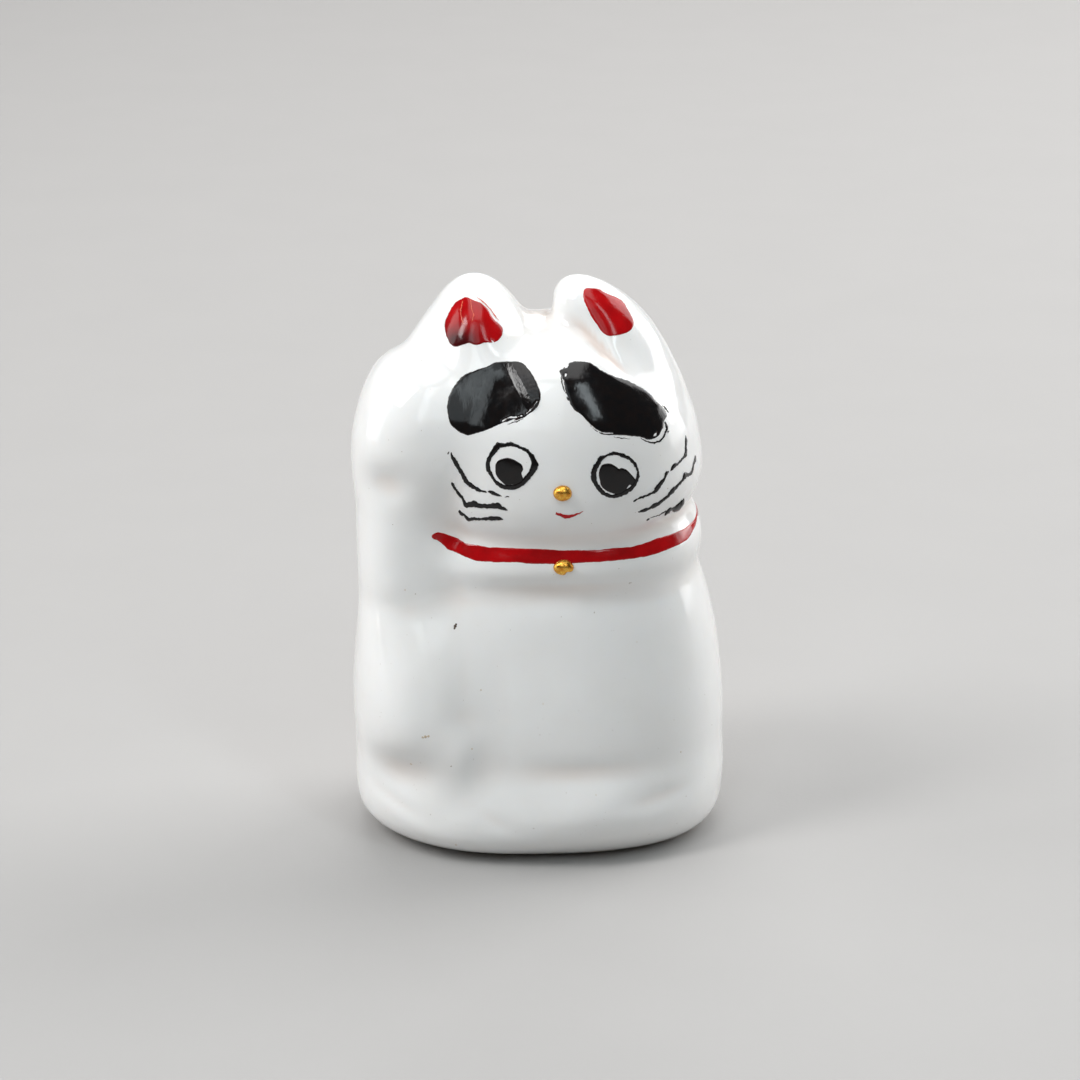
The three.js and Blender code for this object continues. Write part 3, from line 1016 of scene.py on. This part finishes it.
LEFT_PUPIL = (
    (495.2, 470), (496, 463.3), (499.7, 459.7), (506.4, 457.9), (512.4, 458.8), (518.5, 462.1),
    (522.1, 465.1), (523.2, 469.4), (521.6, 473.4), (523, 478), (525, 482), (511.8, 488),
    (503.3, 483.3), (496.7, 476),
)
RIGHT_PUPIL = (
    (598.7, 474.8), (599.7, 469.4), (602.1, 465.1), (607.5, 463.3), (611.8, 464.2),
    (616, 466.4), (618.8, 468.6), (621.5, 467.9), (626.3, 469.7), (630.6, 473.6),
    (634.8, 478.5), (636.5, 482.5), (629.5, 490.5), (620.3, 495), (613.5, 493.6),
    (606.9, 491.2), (601.5, 486.3), (600, 481),
)
RIGHT_PUPIL_GAPS = (((627.6, 488.4, 1.4), (630, 486, 2.4)),)
LEFT_EYE_RING = (
    (510.6, 444, 4.2), (519.5, 447.2, 3), (526.8, 450.6, 3.6), (531.2, 455.7, 4.4),
    (533.8, 461, 5.4), (534.2, 466.5, 7), (531.6, 472.2, 5.8), (527.8, 477, 5.4),
    (523.5, 482, 5.4), (518, 485.4, 5.4), (511.5, 487, 5.8), (503.3, 486.5, 4.4),
    (497.5, 483.3, 3.8), (493.6, 478.5, 2.8), (489.9, 472.4, 3.6), (488, 467.9, 4.2),
    (488.6, 460.6, 4.2), (491.5, 454.5, 4.6), (496, 448.2, 6), (499, 445.4, 5.8),
    (503.4, 445.6, 3.6),
)
RIGHT_EYE_RING = (
    (612.4, 453.8, 3.4), (617, 453.5, 3), (621.6, 455, 3.6), (628.7, 458.2, 3.1),
    (634.2, 463, 3.1), (637, 469.1, 2.2), (638.2, 474.4, 2.6), (636.5, 480.3, 3.4),
    (632.6, 487, 4), (626, 491.8, 4.5), (619, 495, 4.2), (612, 496.3, 3.6), (605, 494, 3.6),
    (599.5, 489, 4.4), (595.3, 482.7, 4.4), (593.7, 476.7, 5.8), (594.4, 470, 5.4),
    (598.4, 462.7, 4.6), (601, 458.6, 5), (606.3, 455.8, 2.6),
)
EYE_RING_KNOBS = (
    ((495.4, 446.8, 2), (497.4, 444.4, 3.8), (499.4, 444, 2)),
    ((535.4, 461.5, 2), (537, 465, 2.6), (534.4, 470.4, 2)),
    ((611.6, 452.8, 2), (614.4, 452.8, 2.4)),
)
MOUTH = (
    ((555.8, 512.3, 0.7), (556.8, 513.8, 2.2), (560.3, 515.1, 2.6), (566.3, 516.8, 3.4),
     (572, 515.9, 2.5), (578, 513.9, 1.4), (583.2, 511.3, 0.4)),
)
LEFT_WHISKERS = (
    ((448.8, 451.4, 0.8), (448.4, 453, 1.7), (448, 454.4, 0.8)),
    ((450.6, 452.4, 0.8), (452.3, 456.8, 3), (455.1, 461.5, 4.2), (461.8, 472.9, 3.9),
     (464.5, 477.9, 4.6), (467.8, 482.9, 4.4), (476.5, 488.6, 3.7), (479.9, 490.4, 2.5),
     (482, 491, 1.3), (484.6, 491.4, 2), (486.8, 492.8, 0.6)),
    ((488, 491.2, 1), (491.9, 492.3, 3.8), (495.3, 493.6, 3.2), (498.6, 495, 2.2),
     (501.8, 496.3, 0.6)),
    ((504.6, 497.4, 0.5), (507.3, 496.3, 1.1), (509.4, 497.4, 0.5)),
    ((452.1, 482.2, 1.2), (452.8, 484.2, 2.5), (457.1, 491.6, 2.7), (460.8, 496, 3),
     (463.5, 500.3, 2.8), (465.6, 505.6, 3.6), (467.6, 506.6, 2)),
    ((465.6, 503.6, 2), (468.2, 504.9, 5.2), (473.7, 503.9, 6.6), (478, 505.3, 4.8),
     (484.6, 506, 4.6), (489, 506.4, 4.4), (496.6, 505.7, 6.4), (501, 507.6, 4.6),
     (508.2, 510.2, 0.8)),
    ((459.5, 510.3, 1), (460.8, 513.3, 3.6), (463.8, 514.9, 2.4), (466.1, 517.1, 2.8),
     (468.4, 519.2, 3.4), (473.5, 518.8, 3.3), (480.5, 519.1, 2.4), (489.9, 518.4, 3.6),
     (496.5, 518.3, 4), (500, 518.5, 3.2), (503.2, 519.2, 0.8)),
)
RIGHT_WHISKERS = (
    ((685.6, 435.6, 0.7), (686.1, 441, 2.4), (685.8, 446.7, 1.9), (686, 452.3, 2.4),
     (685, 455.6, 2.8), (682.4, 458.6, 1.8), (678.9, 462.8, 1.8), (674.7, 465.6, 3.6),
     (672.3, 468.4, 2.8), (670.6, 471.4, 0.5)),
    ((669, 471.4, 0.7), (666.9, 473, 3.5), (665.6, 476.1, 2.2), (664.2, 479.6, 2.4),
     (661.4, 482.6, 3.4), (656.8, 488.8, 4.6), (654.4, 491.6, 3), (648, 494.9, 2.1),
     (640.3, 497.9, 2.4), (637.6, 499.1, 1.2), (635.1, 500.4, 2.1), (633.3, 501.5, 0.8)),
    ((695.8, 455.4, 0.6), (695.2, 460, 1.9), (693.7, 464.2, 1.3), (693, 468.4, 1.9),
     (691.2, 473.3, 2), (687.6, 474.8, 3), (685, 476, 4.4), (682.9, 479.8, 2.2),
     (676.1, 487.3, 2.7), (673, 490.2, 4.2), (670.2, 493.3, 3.4), (667, 496.8, 2.7),
     (657.9, 504, 3.4), (654.4, 505.4, 4.1), (650.9, 507.7, 2.4), (644, 510.4, 3),
     (637.9, 512, 0.8)),
    ((683.6, 498.4, 0.6), (682.1, 502.1, 2.6), (680, 505.4, 4), (676, 507.7, 3.6),
     (671.9, 509.1, 1.7), (668.4, 511.2, 3.6), (664.8, 515.6, 0.8)),
    ((677.6, 508.6, 0.8), (674.4, 510.6, 1.3), (672.6, 509.8, 0.8)),
    ((666, 511, 1), (662, 513.3, 0.9), (657.9, 515.4, 0.7), (650.4, 517.8, 0.5)),
    ((649.4, 518, 0.6), (648, 519.4, 1.8), (647.2, 520.6, 0.6)),
)
COLLAR_TOP = (
    (438, 532), (449, 535), (465, 543), (488, 547), (518, 548), (544, 549), (560, 550.5),
    (576, 550), (598, 550), (611, 548.3), (630, 547), (640.5, 544.5), (658, 538), (679, 531),
    (690, 524), (696, 514),
)
COLLAR_FOOT = (
    (437, 540), (447.5, 549.7), (465, 557), (476, 561), (500, 562.4), (518, 562.6), (532, 564),
    (553, 564), (576, 563), (605, 561.5), (630, 559), (649, 556), (665, 550.6), (679, 544.5),
    (688, 539), (693, 530), (697, 517),
)
NOSE_AT = (562.7, 493.3)
BELL_AT = (563.7, 567.3)
DARK_SPECKS = ((456, 624.4, 2.2), (455.2, 626.2, 3), (454.6, 628.2, 2.2))
PALE_SPECKS = (
    (422.6, 737.6, 2.2), (425.4, 737, 3), (428.4, 736.4, 2.4), (481, 690, 1.4), (543, 704, 1.3),
    (472, 749, 1.6), (405, 590, 1.4), (411, 764, 1.7), (456, 845, 1.8), (637, 642, 1),
    (681, 752, 1.1), (596, 795, 1.1),
)

# Left edge, width and fall of the fold where the enamel of the left brow wrinkled, in pixels, and
# its height at its top and foot in mm
FOLD = ((502.6, 362), (508.9, 374.6), (516.7, 388.7), (521.5, 399.7), (527.7, 410.7))
FOLD_WIDTH = 9
FOLD_FALL = 16
FOLD_HEIGHTS = (0.15, 0.3)

# Middle and reach of the pool of thick enamel low in the left ear, where the red is also darkened
# as painted shade
EAR_POOL = (459, 341)
EAR_POOL_REACH = (24, 15)
EAR_POOL_HEIGHT = 0.08


def brow_fold(spots):
    """Extra thickness of the left brow: a rise across the fold, then a slow fall."""
    line = np.array(FOLD)
    past = spots[:, 0] - np.interp(spots[:, 1], line[:, 1], line[:, 0])
    height = np.interp(spots[:, 1], line[[0, -1], 1], FOLD_HEIGHTS)
    steps = (0, FOLD_WIDTH, FOLD_WIDTH + FOLD_FALL)
    return height * np.interp(past, steps, (0, 1, 0.2))


def ear_pool(spots):
    """Extra thickness of the left ear's lining, where the red ran together and where its colour
    carries painted shade.
    """
    far = ((spots - EAR_POOL) / EAR_POOL_REACH) ** 2
    return EAR_POOL_HEIGHT * np.exp(-far.sum(axis=1))


# Where the collar starts and stops round the neck, in degrees from +X, and its height behind
COLLAR_START = -135.6
COLLAR_STOP = 157
COLLAR_BEHIND = (41.5, 42.9)


def turned(degrees):
    """Angles from +X brought into the collar's own run, which starts beside the raised arm."""
    return (np.asarray(degrees) - COLLAR_START + 20) % 360 + COLLAR_START - 20


def collar_edge(pixels, behind):
    """Angles and heights along one edge of the collar, from the photograph and on behind."""
    seen = on_figure(pixels)
    angles = turned(np.degrees(np.arctan2(seen[:, 1], seen[:, 0] - COLLAR_AT[0])))
    heights = seen[:, 2]
    back = np.array([25, 60, 90, 130, 180])
    return np.concatenate([angles, back]), np.concatenate([heights, np.full(5, behind)])


def collar_shell(settings):
    """Closed shell of the red band round the neck."""
    pitch = 0.12
    radius = COLLAR_HALF[0] + COLLAR_RADIUS
    angles = np.arange(COLLAR_START - 2, COLLAR_STOP + 2, math.degrees(pitch / radius))
    foot = np.interp(angles, *collar_edge(COLLAR_FOOT, COLLAR_BEHIND[0]))
    top = np.interp(angles, *collar_edge(COLLAR_TOP, COLLAR_BEHIND[1]))
    foot += 0.08 * np.sin(angles / 11) * np.clip(angles / 40, 0, 1)
    top += 0.07 * np.sin(angles / 8 + 1) * np.clip(angles / 40, 0, 1)
    middle = (foot + top) / 2
    half = (top - foot) / 2
    levels = np.linspace(-1.6, 1.6, 28)
    height = middle + half * levels[:, None]
    angle = np.tile(angles, (len(levels), 1))
    turn = np.radians(angle.ravel())
    starts = np.stack([
        np.full(turn.size, COLLAR_AT[0]), np.full(turn.size, COLLAR_AT[1]), height.ravel()
    ], axis=1)
    directions = np.stack([np.cos(turn), np.sin(turn), np.zeros(turn.size)], axis=1)
    points = cast(starts, directions, inside=True)
    ends = np.minimum(angle - COLLAR_START, COLLAR_STOP - angle) * math.radians(radius)
    edge = half - np.hypot(np.maximum(half - ends, 0), half * levels[:, None])
    edge = edge.ravel() + settings.ragged * 0.7 * (
        grain(points, 0.9, 5) + 0.5 * grain(points, 0.25, 6)
    )
    kept = edge > -0.14
    shape = height.shape
    return shell_over(
        points.reshape(*shape, 3), edge.reshape(shape), kept.reshape(shape), settings.thickness
    )


def glazed_body(settings):
    """Fine closed skin of the figure; gives its points, quads, painted crease shade and underside
    quads.
    """
    rings = skin_rings(settings.fineness)
    rows, columns, _ = rings.shape
    skin = rings.reshape(-1, 3)
    skin = raised(skin, np.zeros(len(skin)))
    skin[:, 2] = np.maximum(skin[:, 2], 0)
    rings = skin.reshape(rows, columns, 3)
    angle = 2 * np.pi * np.arange(columns) / columns
    first = rings[0].copy()
    first[:, 2] = 0
    circle = np.stack([np.cos(angle), np.sin(angle), np.zeros(columns)], axis=1)
    steps = ((0.02, 4.9), (0.35, 4.96), (0.8, 5), (1.6, 5), (2.4, 5))
    hollow = [circle * radius + (0, 0, height) for radius, height in steps]
    hollow += [circle * (VENT_RADIUS + 0.05) + (0, 0, height) for height in (4.7, 3, 1.4, 0.5)]
    hollow += [circle * (VENT_RADIUS + 0.2) + (0, 0, 0.12), circle * (VENT_RADIUS + 0.5)]
    mouth = circle * (VENT_RADIUS + 0.5)
    for share in (0.15, 0.35, 0.6, 0.85):
        flat = mouth + (first - mouth) * share
        hollow.append(flat)
    under = len(hollow)
    loops = np.concatenate([np.stack(hollow), rings])
    crown = cast(np.array([[AXIS_X, 0, AXIS_HEAD]]), np.array([[0.0, 0, 1]]), inside=True)
    points = np.concatenate([loops.reshape(-1, 3), crown, [[0, 0, VENT_DEPTH - 0.1]]])
    number = np.arange(len(loops) * columns).reshape(-1, columns)
    after = np.roll(number, -1, axis=1)
    bands = np.stack([number[:-1], after[:-1], after[1:], number[1:]], axis=-1)
    split = under * columns
    bands = bands.reshape(-1, 4)
    last = len(points)
    pairs = np.arange(0, columns, 2)
    top = number[-1]
    low = number[0]
    cap = np.stack([
        top[pairs], top[(pairs + 1) % columns], top[(pairs + 2) % columns],
        np.full(len(pairs), last - 2),
    ], axis=1)
    floor = np.stack([
        low[(pairs + 2) % columns], low[(pairs + 1) % columns], low[pairs],
        np.full(len(pairs), last - 1),
    ], axis=1)
    faces = np.concatenate([bands, cap, floor])
    is_under = np.zeros(len(faces), dtype=bool)
    is_under[:split] = True
    is_under[-len(floor):] = True
    # How hollow the form is at each point sets the painted shade laid into its creases.
    spread_out = sum(
        outside(points + 1.1 * step) for step in np.concatenate([np.eye(3), -np.eye(3)])
    )
    hollowness = (6 * outside(points) - spread_out) / 1.1**2
    crease_shade = np.clip(hollowness * 1.2, 0, 1) * (points[:, 2] > 1.5)
    return points, faces, crease_shade, is_under


def gold_drop(pixel, half, lean, bite):
    """Points and triangles of a thick drop that sits on the glaze; a bite hollows its edge."""
    import bmesh
    ball = bmesh.new()
    bmesh.ops.create_icosphere(ball, subdivisions=6, radius=1)
    spots = np.array([vert.co for vert in ball.verts])
    faces = np.array([[vert.index for vert in face.verts] for face in ball.faces])
    ball.free()
    seat = on_figure([pixel])
    facing = outward(seat)[0]
    right = np.array([1, 0, 0]) - facing[0] * facing
    right /= np.linalg.norm(right)
    up = np.cross(facing, right)
    turn = math.radians(lean)
    u = spots[:, 0] * math.cos(turn) - spots[:, 1] * math.sin(turn)
    v = spots[:, 0] * math.sin(turn) + spots[:, 1] * math.cos(turn)
    size = 1 + 0.05 * grain(spots, 0.9, 8)
    size -= bite[2] * np.exp(-((u - bite[0]) ** 2 + (v - bite[1]) ** 2) / 0.09)
    tall = np.where(spots[:, 2] > 0, half[2], 0.35 * half[2])
    made = seat + (
        (u * size * half[0])[:, None] * right
        + (v * size * half[1])[:, None] * up
        + (spots[:, 2] * size * tall)[:, None] * facing
    )
    return made, faces


# Sizes and finishes that a user may change


class GlazeSettings(PropertyGroup):
    fineness: IntProperty(
        name="Fineness", description="Quads of the glaze for each facet of the solid",
        default=4, min=1, max=4,
    )
    bare_foot: FloatProperty(
        name="Bare foot", description="Height at the foot that the glaze leaves bare",
        default=0.0005, unit="LENGTH", precision=5,
    )
    glaze_colour: FloatVectorProperty(
        name="Glaze", description="White of the glaze", subtype="COLOR",
        default=(0.87, 0.87, 0.86),
    )
    glaze_shade: FloatVectorProperty(
        name="Glaze shade", description="White where the glaze lies a little thinner",
        subtype="COLOR", default=(0.85, 0.845, 0.83),
    )
    # Painted shade: the warmer, darker white laid into the creases.
    crease_shade_colour: FloatVectorProperty(
        name="Pooled glaze", description="Warmer white where the glaze ran thick into a crease",
        subtype="COLOR", default=(0.8, 0.7, 0.64),
    )
    clay_colour: FloatVectorProperty(
        name="Clay", description="Bare fired clay of the foot and underside", subtype="COLOR",
        default=(0.62, 0.53, 0.43),
    )


class EnamelSettings(PropertyGroup):
    thickness: FloatProperty(
        name="Thickness", description="How far the enamel stands off the glaze, in millimetres",
        default=0.06,
    )
    ragged: FloatProperty(
        name="Raggedness", description="How far the brushed edges wander, in millimetres",
        default=0.07,
    )
    black_colour: FloatVectorProperty(
        name="Black", description="Black of the brows, eyes and whiskers", subtype="COLOR",
        default=(0.0025, 0.0025, 0.003),
    )
    black_edge: FloatVectorProperty(
        name="Thin black", description="Black where it was brushed thin", subtype="COLOR",
        default=(0.05, 0.03, 0.026),
    )
    red_colour: FloatVectorProperty(
        name="Red", description="Red of the ear linings, collar and mouth", subtype="COLOR",
        default=(0.44, 0.001, 0.003),
    )
    # Painted shade: the dark red laid where the enamel lies thick.
    red_thick_shade: FloatVectorProperty(
        name="Pooled red", description="Red where the enamel ran together and lies thick",
        subtype="COLOR", default=(0.05, 0.001, 0.002),
    )
    # Red of the thin edges, and of the painted highlight lines in the left ear.
    red_thin_edge_and_highlight: FloatVectorProperty(
        name="Thin red", description="Red where it was brushed thin", subtype="COLOR",
        default=(0.72, 0.12, 0.07),
    )
    # Gold of the drops, partly warmed toward orange as a painted reflection.
    gold_colour: FloatVectorProperty(
        name="Gold", description="Gold of the nose and the bell", subtype="COLOR",
        default=(0.86, 0.5, 0.09),
    )
    # Painted reflection: the deep orange gold, which the finish lays in random patches.
    deep_gold_reflection: FloatVectorProperty(
        name="Deep gold", description="Gold in the hollows of a drop", subtype="COLOR",
        default=(0.62, 0.24, 0.03),
    )
    stroke_step: FloatProperty(
        name="Stroke step", description="Spacing of the sections along a brush stroke",
        default=0.00008, unit="LENGTH", precision=5,
    )
    stroke_ragged: FloatProperty(
        name="Stroke raggedness", description="How far the sides of a brush stroke wander",
        default=0.00036, unit="LENGTH", precision=5,
    )
    stroke_grain: FloatProperty(
        name="Stroke grain", description="Size of the wander along a brush stroke",
        default=0.00035, unit="LENGTH", precision=5,
    )


# Height that the panels aim at
AIM_HEIGHT = 0.038

# Soft panels round the figure: azimuth from its front and elevation in degrees, distance, width
# and height in metres, brightness against the others, and colour
COOL = (0.86, 0.96, 1)
PANELS = (
    ("key panel", -62, 50, 1.0, 0.24, 0.5, 12, (1, 1, 1)),
    ("left front panel", -18, 46, 1.0, 0.14, 0.8, 2.6, COOL),
    ("middle front panel", -4, 46, 1.0, 0.26, 0.8, 1.2, COOL),
    ("right front panel", 31, 47, 1.0, 0.12, 0.6, 6, COOL),
    ("left panel", -95, 22, 0.9, 0.6, 0.8, 2.5, (1, 1, 1)),
    ("right panel", 125, 30, 0.9, 0.6, 0.8, 4, (1, 1, 1)),
    ("right low panel", 114, 6, 1.0, 0.5, 0.5, 3, (1, 1, 1)),
    ("top panel", 180, 80, 0.9, 0.5, 0.9, 2.4, (1, 1, 1)),
    ("back panel", 175, 25, 1.0, 0.7, 0.5, 2, (1, 1, 1)),
)


class StageSettings(PropertyGroup):
    floor_colour: FloatVectorProperty(
        name="Floor", description="Pale paper under the figure", subtype="COLOR",
        default=(0.4, 0.39, 0.382),
    )
    floor_size: FloatProperty(
        name="Floor size", description="Side of the floor", default=6, unit="LENGTH",
    )
    surround: FloatProperty(
        name="Surround", description="Strength of the even light all round", default=0.12,
    )
    panels: FloatProperty(
        name="Panels", description="Brightness of the soft panels", default=1,
    )


def cat_settings():
    """Settings of the figure in this scene."""
    return bpy.context.scene.lucky_cat


class CatSettings(PropertyGroup):
    glaze: PointerProperty(type=GlazeSettings)
    enamel: PointerProperty(type=EnamelSettings)
    stage: PointerProperty(type=StageSettings)


class CAT_OT_glaze(Operator):
    """Lay the white glaze over the figure, with its bare foot and vent hole"""
    bl_idname = "cat.glaze"
    bl_label = "Glaze"

    def execute(self, context):
        settings = context.scene.lucky_cat.glaze
        points, faces, crease_shade, is_under = glazed_body(settings)
        # The glaze stores the painted shade of its creases at its points.
        made = mesh_object(
            "cat_glaze", points, faces, (white_glaze(settings), bare_clay(settings)),
            {"crease_shade": crease_shade},
        )
        made.data.polygons.foreach_set("material_index", is_under.astype(np.int32))
        as_piece(made)
        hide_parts(FIGURE)
        return {"FINISHED"}


class CAT_OT_brows(Operator):
    """Paint the black brow patches and the hairlines round them"""
    bl_idname = "cat.brows"
    bl_label = "Brow patches"

    def execute(self, context):
        settings = context.scene.lucky_cat.enamel
        finish = black_enamel(settings)
        points, faces, values = merged([
            patch_shell(outline, gaps, settings.thickness, settings.ragged, lift=lift)
            for outline, gaps, lift in (
                (LEFT_BROW, LEFT_BROW_GAPS, brow_fold), (RIGHT_BROW, RIGHT_BROW_GAPS, None),
            )
        ])
        as_piece(mesh_object("brow_patches", points, faces, (finish,), values))
        as_piece(
            brushed("brow_hairlines", BROW_HAIRLINES, False, settings, finish)
        )
        return {"FINISHED"}


class CAT_OT_ears(Operator):
    """Paint the red linings of the ears, with pale red painted highlight lines in the left one"""
    bl_idname = "cat.ears"
    bl_label = "Ear linings"

    def execute(self, context):
        settings = context.scene.lucky_cat.enamel
        points, faces, values = merged([
            patch_shell(outline, gaps, settings.thickness, 0.6 * settings.ragged, lift=lift)
            for outline, gaps, lift in ((LEFT_EAR, LEFT_EAR_GAPS, ear_pool), (RIGHT_EAR, (), None))
        ])
        made = mesh_object("ear_linings", points, faces, (red_enamel(settings),), values)
        as_piece(made)
        # Painted highlights: pale red lines over the left lining.
        highlight_lines = brushed(
            "ear_highlight_lines", EAR_HIGHLIGHT_LINES, False, settings, red_enamel(settings, thin=True),
            rise=0.09,
        )
        as_piece(highlight_lines)
        return {"FINISHED"}


class CAT_OT_eyes(Operator):
    """Paint the pupils and the rings round the eyes"""
    bl_idname = "cat.eyes"
    bl_label = "Eyes"

    def execute(self, context):
        settings = context.scene.lucky_cat.enamel
        finish = black_enamel(settings)
        points, faces, values = merged([
            patch_shell(outline, gaps, settings.thickness, 0.4 * settings.ragged, step=0.5)
            for outline, gaps in ((LEFT_PUPIL, ()), (RIGHT_PUPIL, RIGHT_PUPIL_GAPS))
        ])
        as_piece(mesh_object("pupils", points, faces, (finish,), values))
        rings = brushed(
            "eye_rings", (LEFT_EYE_RING, RIGHT_EYE_RING), True, settings, finish
        )
        as_piece(rings)
        knobs = brushed("eye_ring_knobs", EYE_RING_KNOBS, False, settings, finish)
        as_piece(knobs)
        return {"FINISHED"}


class CAT_OT_whiskers(Operator):
    """Brush the whiskers on both cheeks"""
    bl_idname = "cat.whiskers"
    bl_label = "Whiskers"

    def execute(self, context):
        settings = context.scene.lucky_cat.enamel
        finish = black_enamel(settings)
        for name, strokes in (("whiskers_left", LEFT_WHISKERS), ("whiskers_right", RIGHT_WHISKERS)):
            as_piece(brushed(name, strokes, False, settings, finish))
        return {"FINISHED"}


class CAT_OT_mouth(Operator):
    """Brush the small red mouth"""
    bl_idname = "cat.mouth"
    bl_label = "Mouth"

    def execute(self, context):
        settings = context.scene.lucky_cat.enamel
        as_piece(brushed("mouth", MOUTH, False, settings, red_enamel(settings)))
        return {"FINISHED"}


class CAT_OT_collar(Operator):
    """Paint the red collar round the neck"""
    bl_idname = "cat.collar"
    bl_label = "Collar"

    def execute(self, context):
        settings = context.scene.lucky_cat.enamel
        points, faces, values = collar_shell(settings)
        made = mesh_object("collar", points, faces, (red_enamel(settings),), values)
        as_piece(made)
        return {"FINISHED"}


class CAT_OT_gold(Operator):
    """Set the gold drops of the nose and the bell"""
    bl_idname = "cat.gold"
    bl_label = "Gold drops"

    def execute(self, context):
        settings = context.scene.lucky_cat.enamel
        finish = gold_enamel(settings)
        for name, pixel, half, lean, bite in (
            ("nose_drop", NOSE_AT, (1.17, 1.05, 0.95), -8, (0.3, 0.1, 0.04)),
            ("bell_drop", BELL_AT, (1.28, 1.05, 0.9), 5, (0.5, -0.85, 0.3)),
        ):
            points, faces = gold_drop(pixel, half, lean, bite)
            as_piece(mesh_object(name, points, faces, (finish,)))
        return {"FINISHED"}


class CAT_OT_specks(Operator):
    """Scatter the iron specks that came through the glaze"""
    bl_idname = "cat.specks"
    bl_label = "Glaze specks"

    def execute(self, context):
        for name, specks, dark, pale in (
            ("dark_specks", DARK_SPECKS, (0.03, 0.018, 0.012), (0.12, 0.07, 0.04)),
            ("pale_specks", PALE_SPECKS, (0.5, 0.4, 0.28), (0.7, 0.6, 0.48)),
        ):
            made = laid(name, speck_tree(), [[speck] for speck in specks], False, 0, {
                "Height": 0.25,
                "Raggedness": 0.00012,
                "Grain": 7000,
                "Finish": speck_finish(name, dark, pale),
            })
            as_piece(made)
        return {"FINISHED"}


class CAT_OT_stage(Operator):
    """Set the floor, the lights and the camera"""
    bl_idname = "cat.stage"
    bl_label = "Stage"

    def execute(self, context):
        settings = context.scene.lucky_cat.stage
        half = settings.floor_size / 2
        mesh = bpy.data.meshes.new("floor")
        corners = [(-half, -half, 0), (half, -half, 0), (half, half, 0), (-half, half, 0)]
        mesh.from_pydata(corners, [], [(0, 1, 2, 3)])
        mesh.materials.append(floor_finish(settings))
        floor = bpy.data.objects.new("floor", mesh)
        context.scene.collection.objects.link(floor)
        surround = bpy.data.worlds.new("surround")
        context.scene.world = surround
        surround.use_nodes = True
        back = surround.node_tree.nodes["Background"]
        back.inputs["Color"].default_value = (1, 1, 1, 1)
        back.inputs["Strength"].default_value = settings.surround
        for panel in PANELS:
            add_panel(context, settings.panels, *panel)
        add_camera(context)
        context.scene.view_settings.view_transform = "Standard"
        return {"FINISHED"}


def add_panel(context, level, name, azimuth, elevation, distance, width, height, bright, colour):
    """Soft rectangular light that faces the middle of the figure."""
    light = bpy.data.lights.new(name, "AREA")
    light.shape = "RECTANGLE"
    light.size = width
    light.size_y = height
    light.energy = level * bright * math.pi * width * height
    light.color = colour
    lamp = bpy.data.objects.new(name, light)
    turn = math.radians(azimuth)
    rise = math.radians(elevation)
    away = Vector((
        math.sin(turn) * math.cos(rise), -math.cos(turn) * math.cos(rise), math.sin(rise)
    ))
    lamp.location = Vector((0, 0, AIM_HEIGHT)) + distance * away
    lamp.rotation_euler = (-away).to_track_quat("-Z", "Y").to_euler()
    context.scene.collection.objects.link(lamp)
    return lamp


def add_camera(context):
    """Camera that saw the photograph."""
    right, up, forward, eye = view_axes()
    data = bpy.data.cameras.new("camera")
    data.sensor_width = SENSOR_WIDTH
    data.lens = PIXELS_PER_MM * CAMERA_DISTANCE / FRAME_PIXELS * SENSOR_WIDTH
    data.clip_start = 0.01
    camera = bpy.data.objects.new("camera", data)
    turn = Matrix(np.stack([right, up, -forward], axis=1).tolist()).to_4x4()
    camera.matrix_world = Matrix.Translation(Vector(placed(eye))) @ turn
    context.scene.collection.objects.link(camera)
    context.scene.camera = camera


class CAT_PT_panel(Panel):
    """Lists the pieces of the figure"""
    bl_idname = "CAT_PT_panel"
    bl_label = "Lucky cat"
    bl_space_type = "VIEW_3D"
    bl_region_type = "UI"
    bl_category = "Lucky Cat"

    def draw(self, context):
        settings = context.scene.lucky_cat
        for group in (settings.glaze, settings.enamel, settings.stage):
            box = self.layout.box()
            for name in group.__annotations__:
                box.prop(group, name)
        for step in STEPS:
            self.layout.operator(step.bl_idname)


STEPS = (
    CAT_OT_glaze, CAT_OT_brows, CAT_OT_ears, CAT_OT_eyes, CAT_OT_whiskers, CAT_OT_mouth,
    CAT_OT_collar, CAT_OT_gold, CAT_OT_specks, CAT_OT_stage,
)
CLASSES = (GlazeSettings, EnamelSettings, StageSettings, CatSettings, *STEPS, CAT_PT_panel)


def register():
    for made in CLASSES:
        bpy.utils.register_class(made)
    bpy.types.Scene.lucky_cat = PointerProperty(type=CatSettings)


def unregister():
    del bpy.types.Scene.lucky_cat
    for made in reversed(CLASSES):
        bpy.utils.unregister_class(made)


def main():
    """Makes every piece in order."""
    register()
    for step in STEPS:
        getattr(bpy.ops.cat, step.bl_idname.split(".")[1])()


if __name__ == "__main__":
    main()
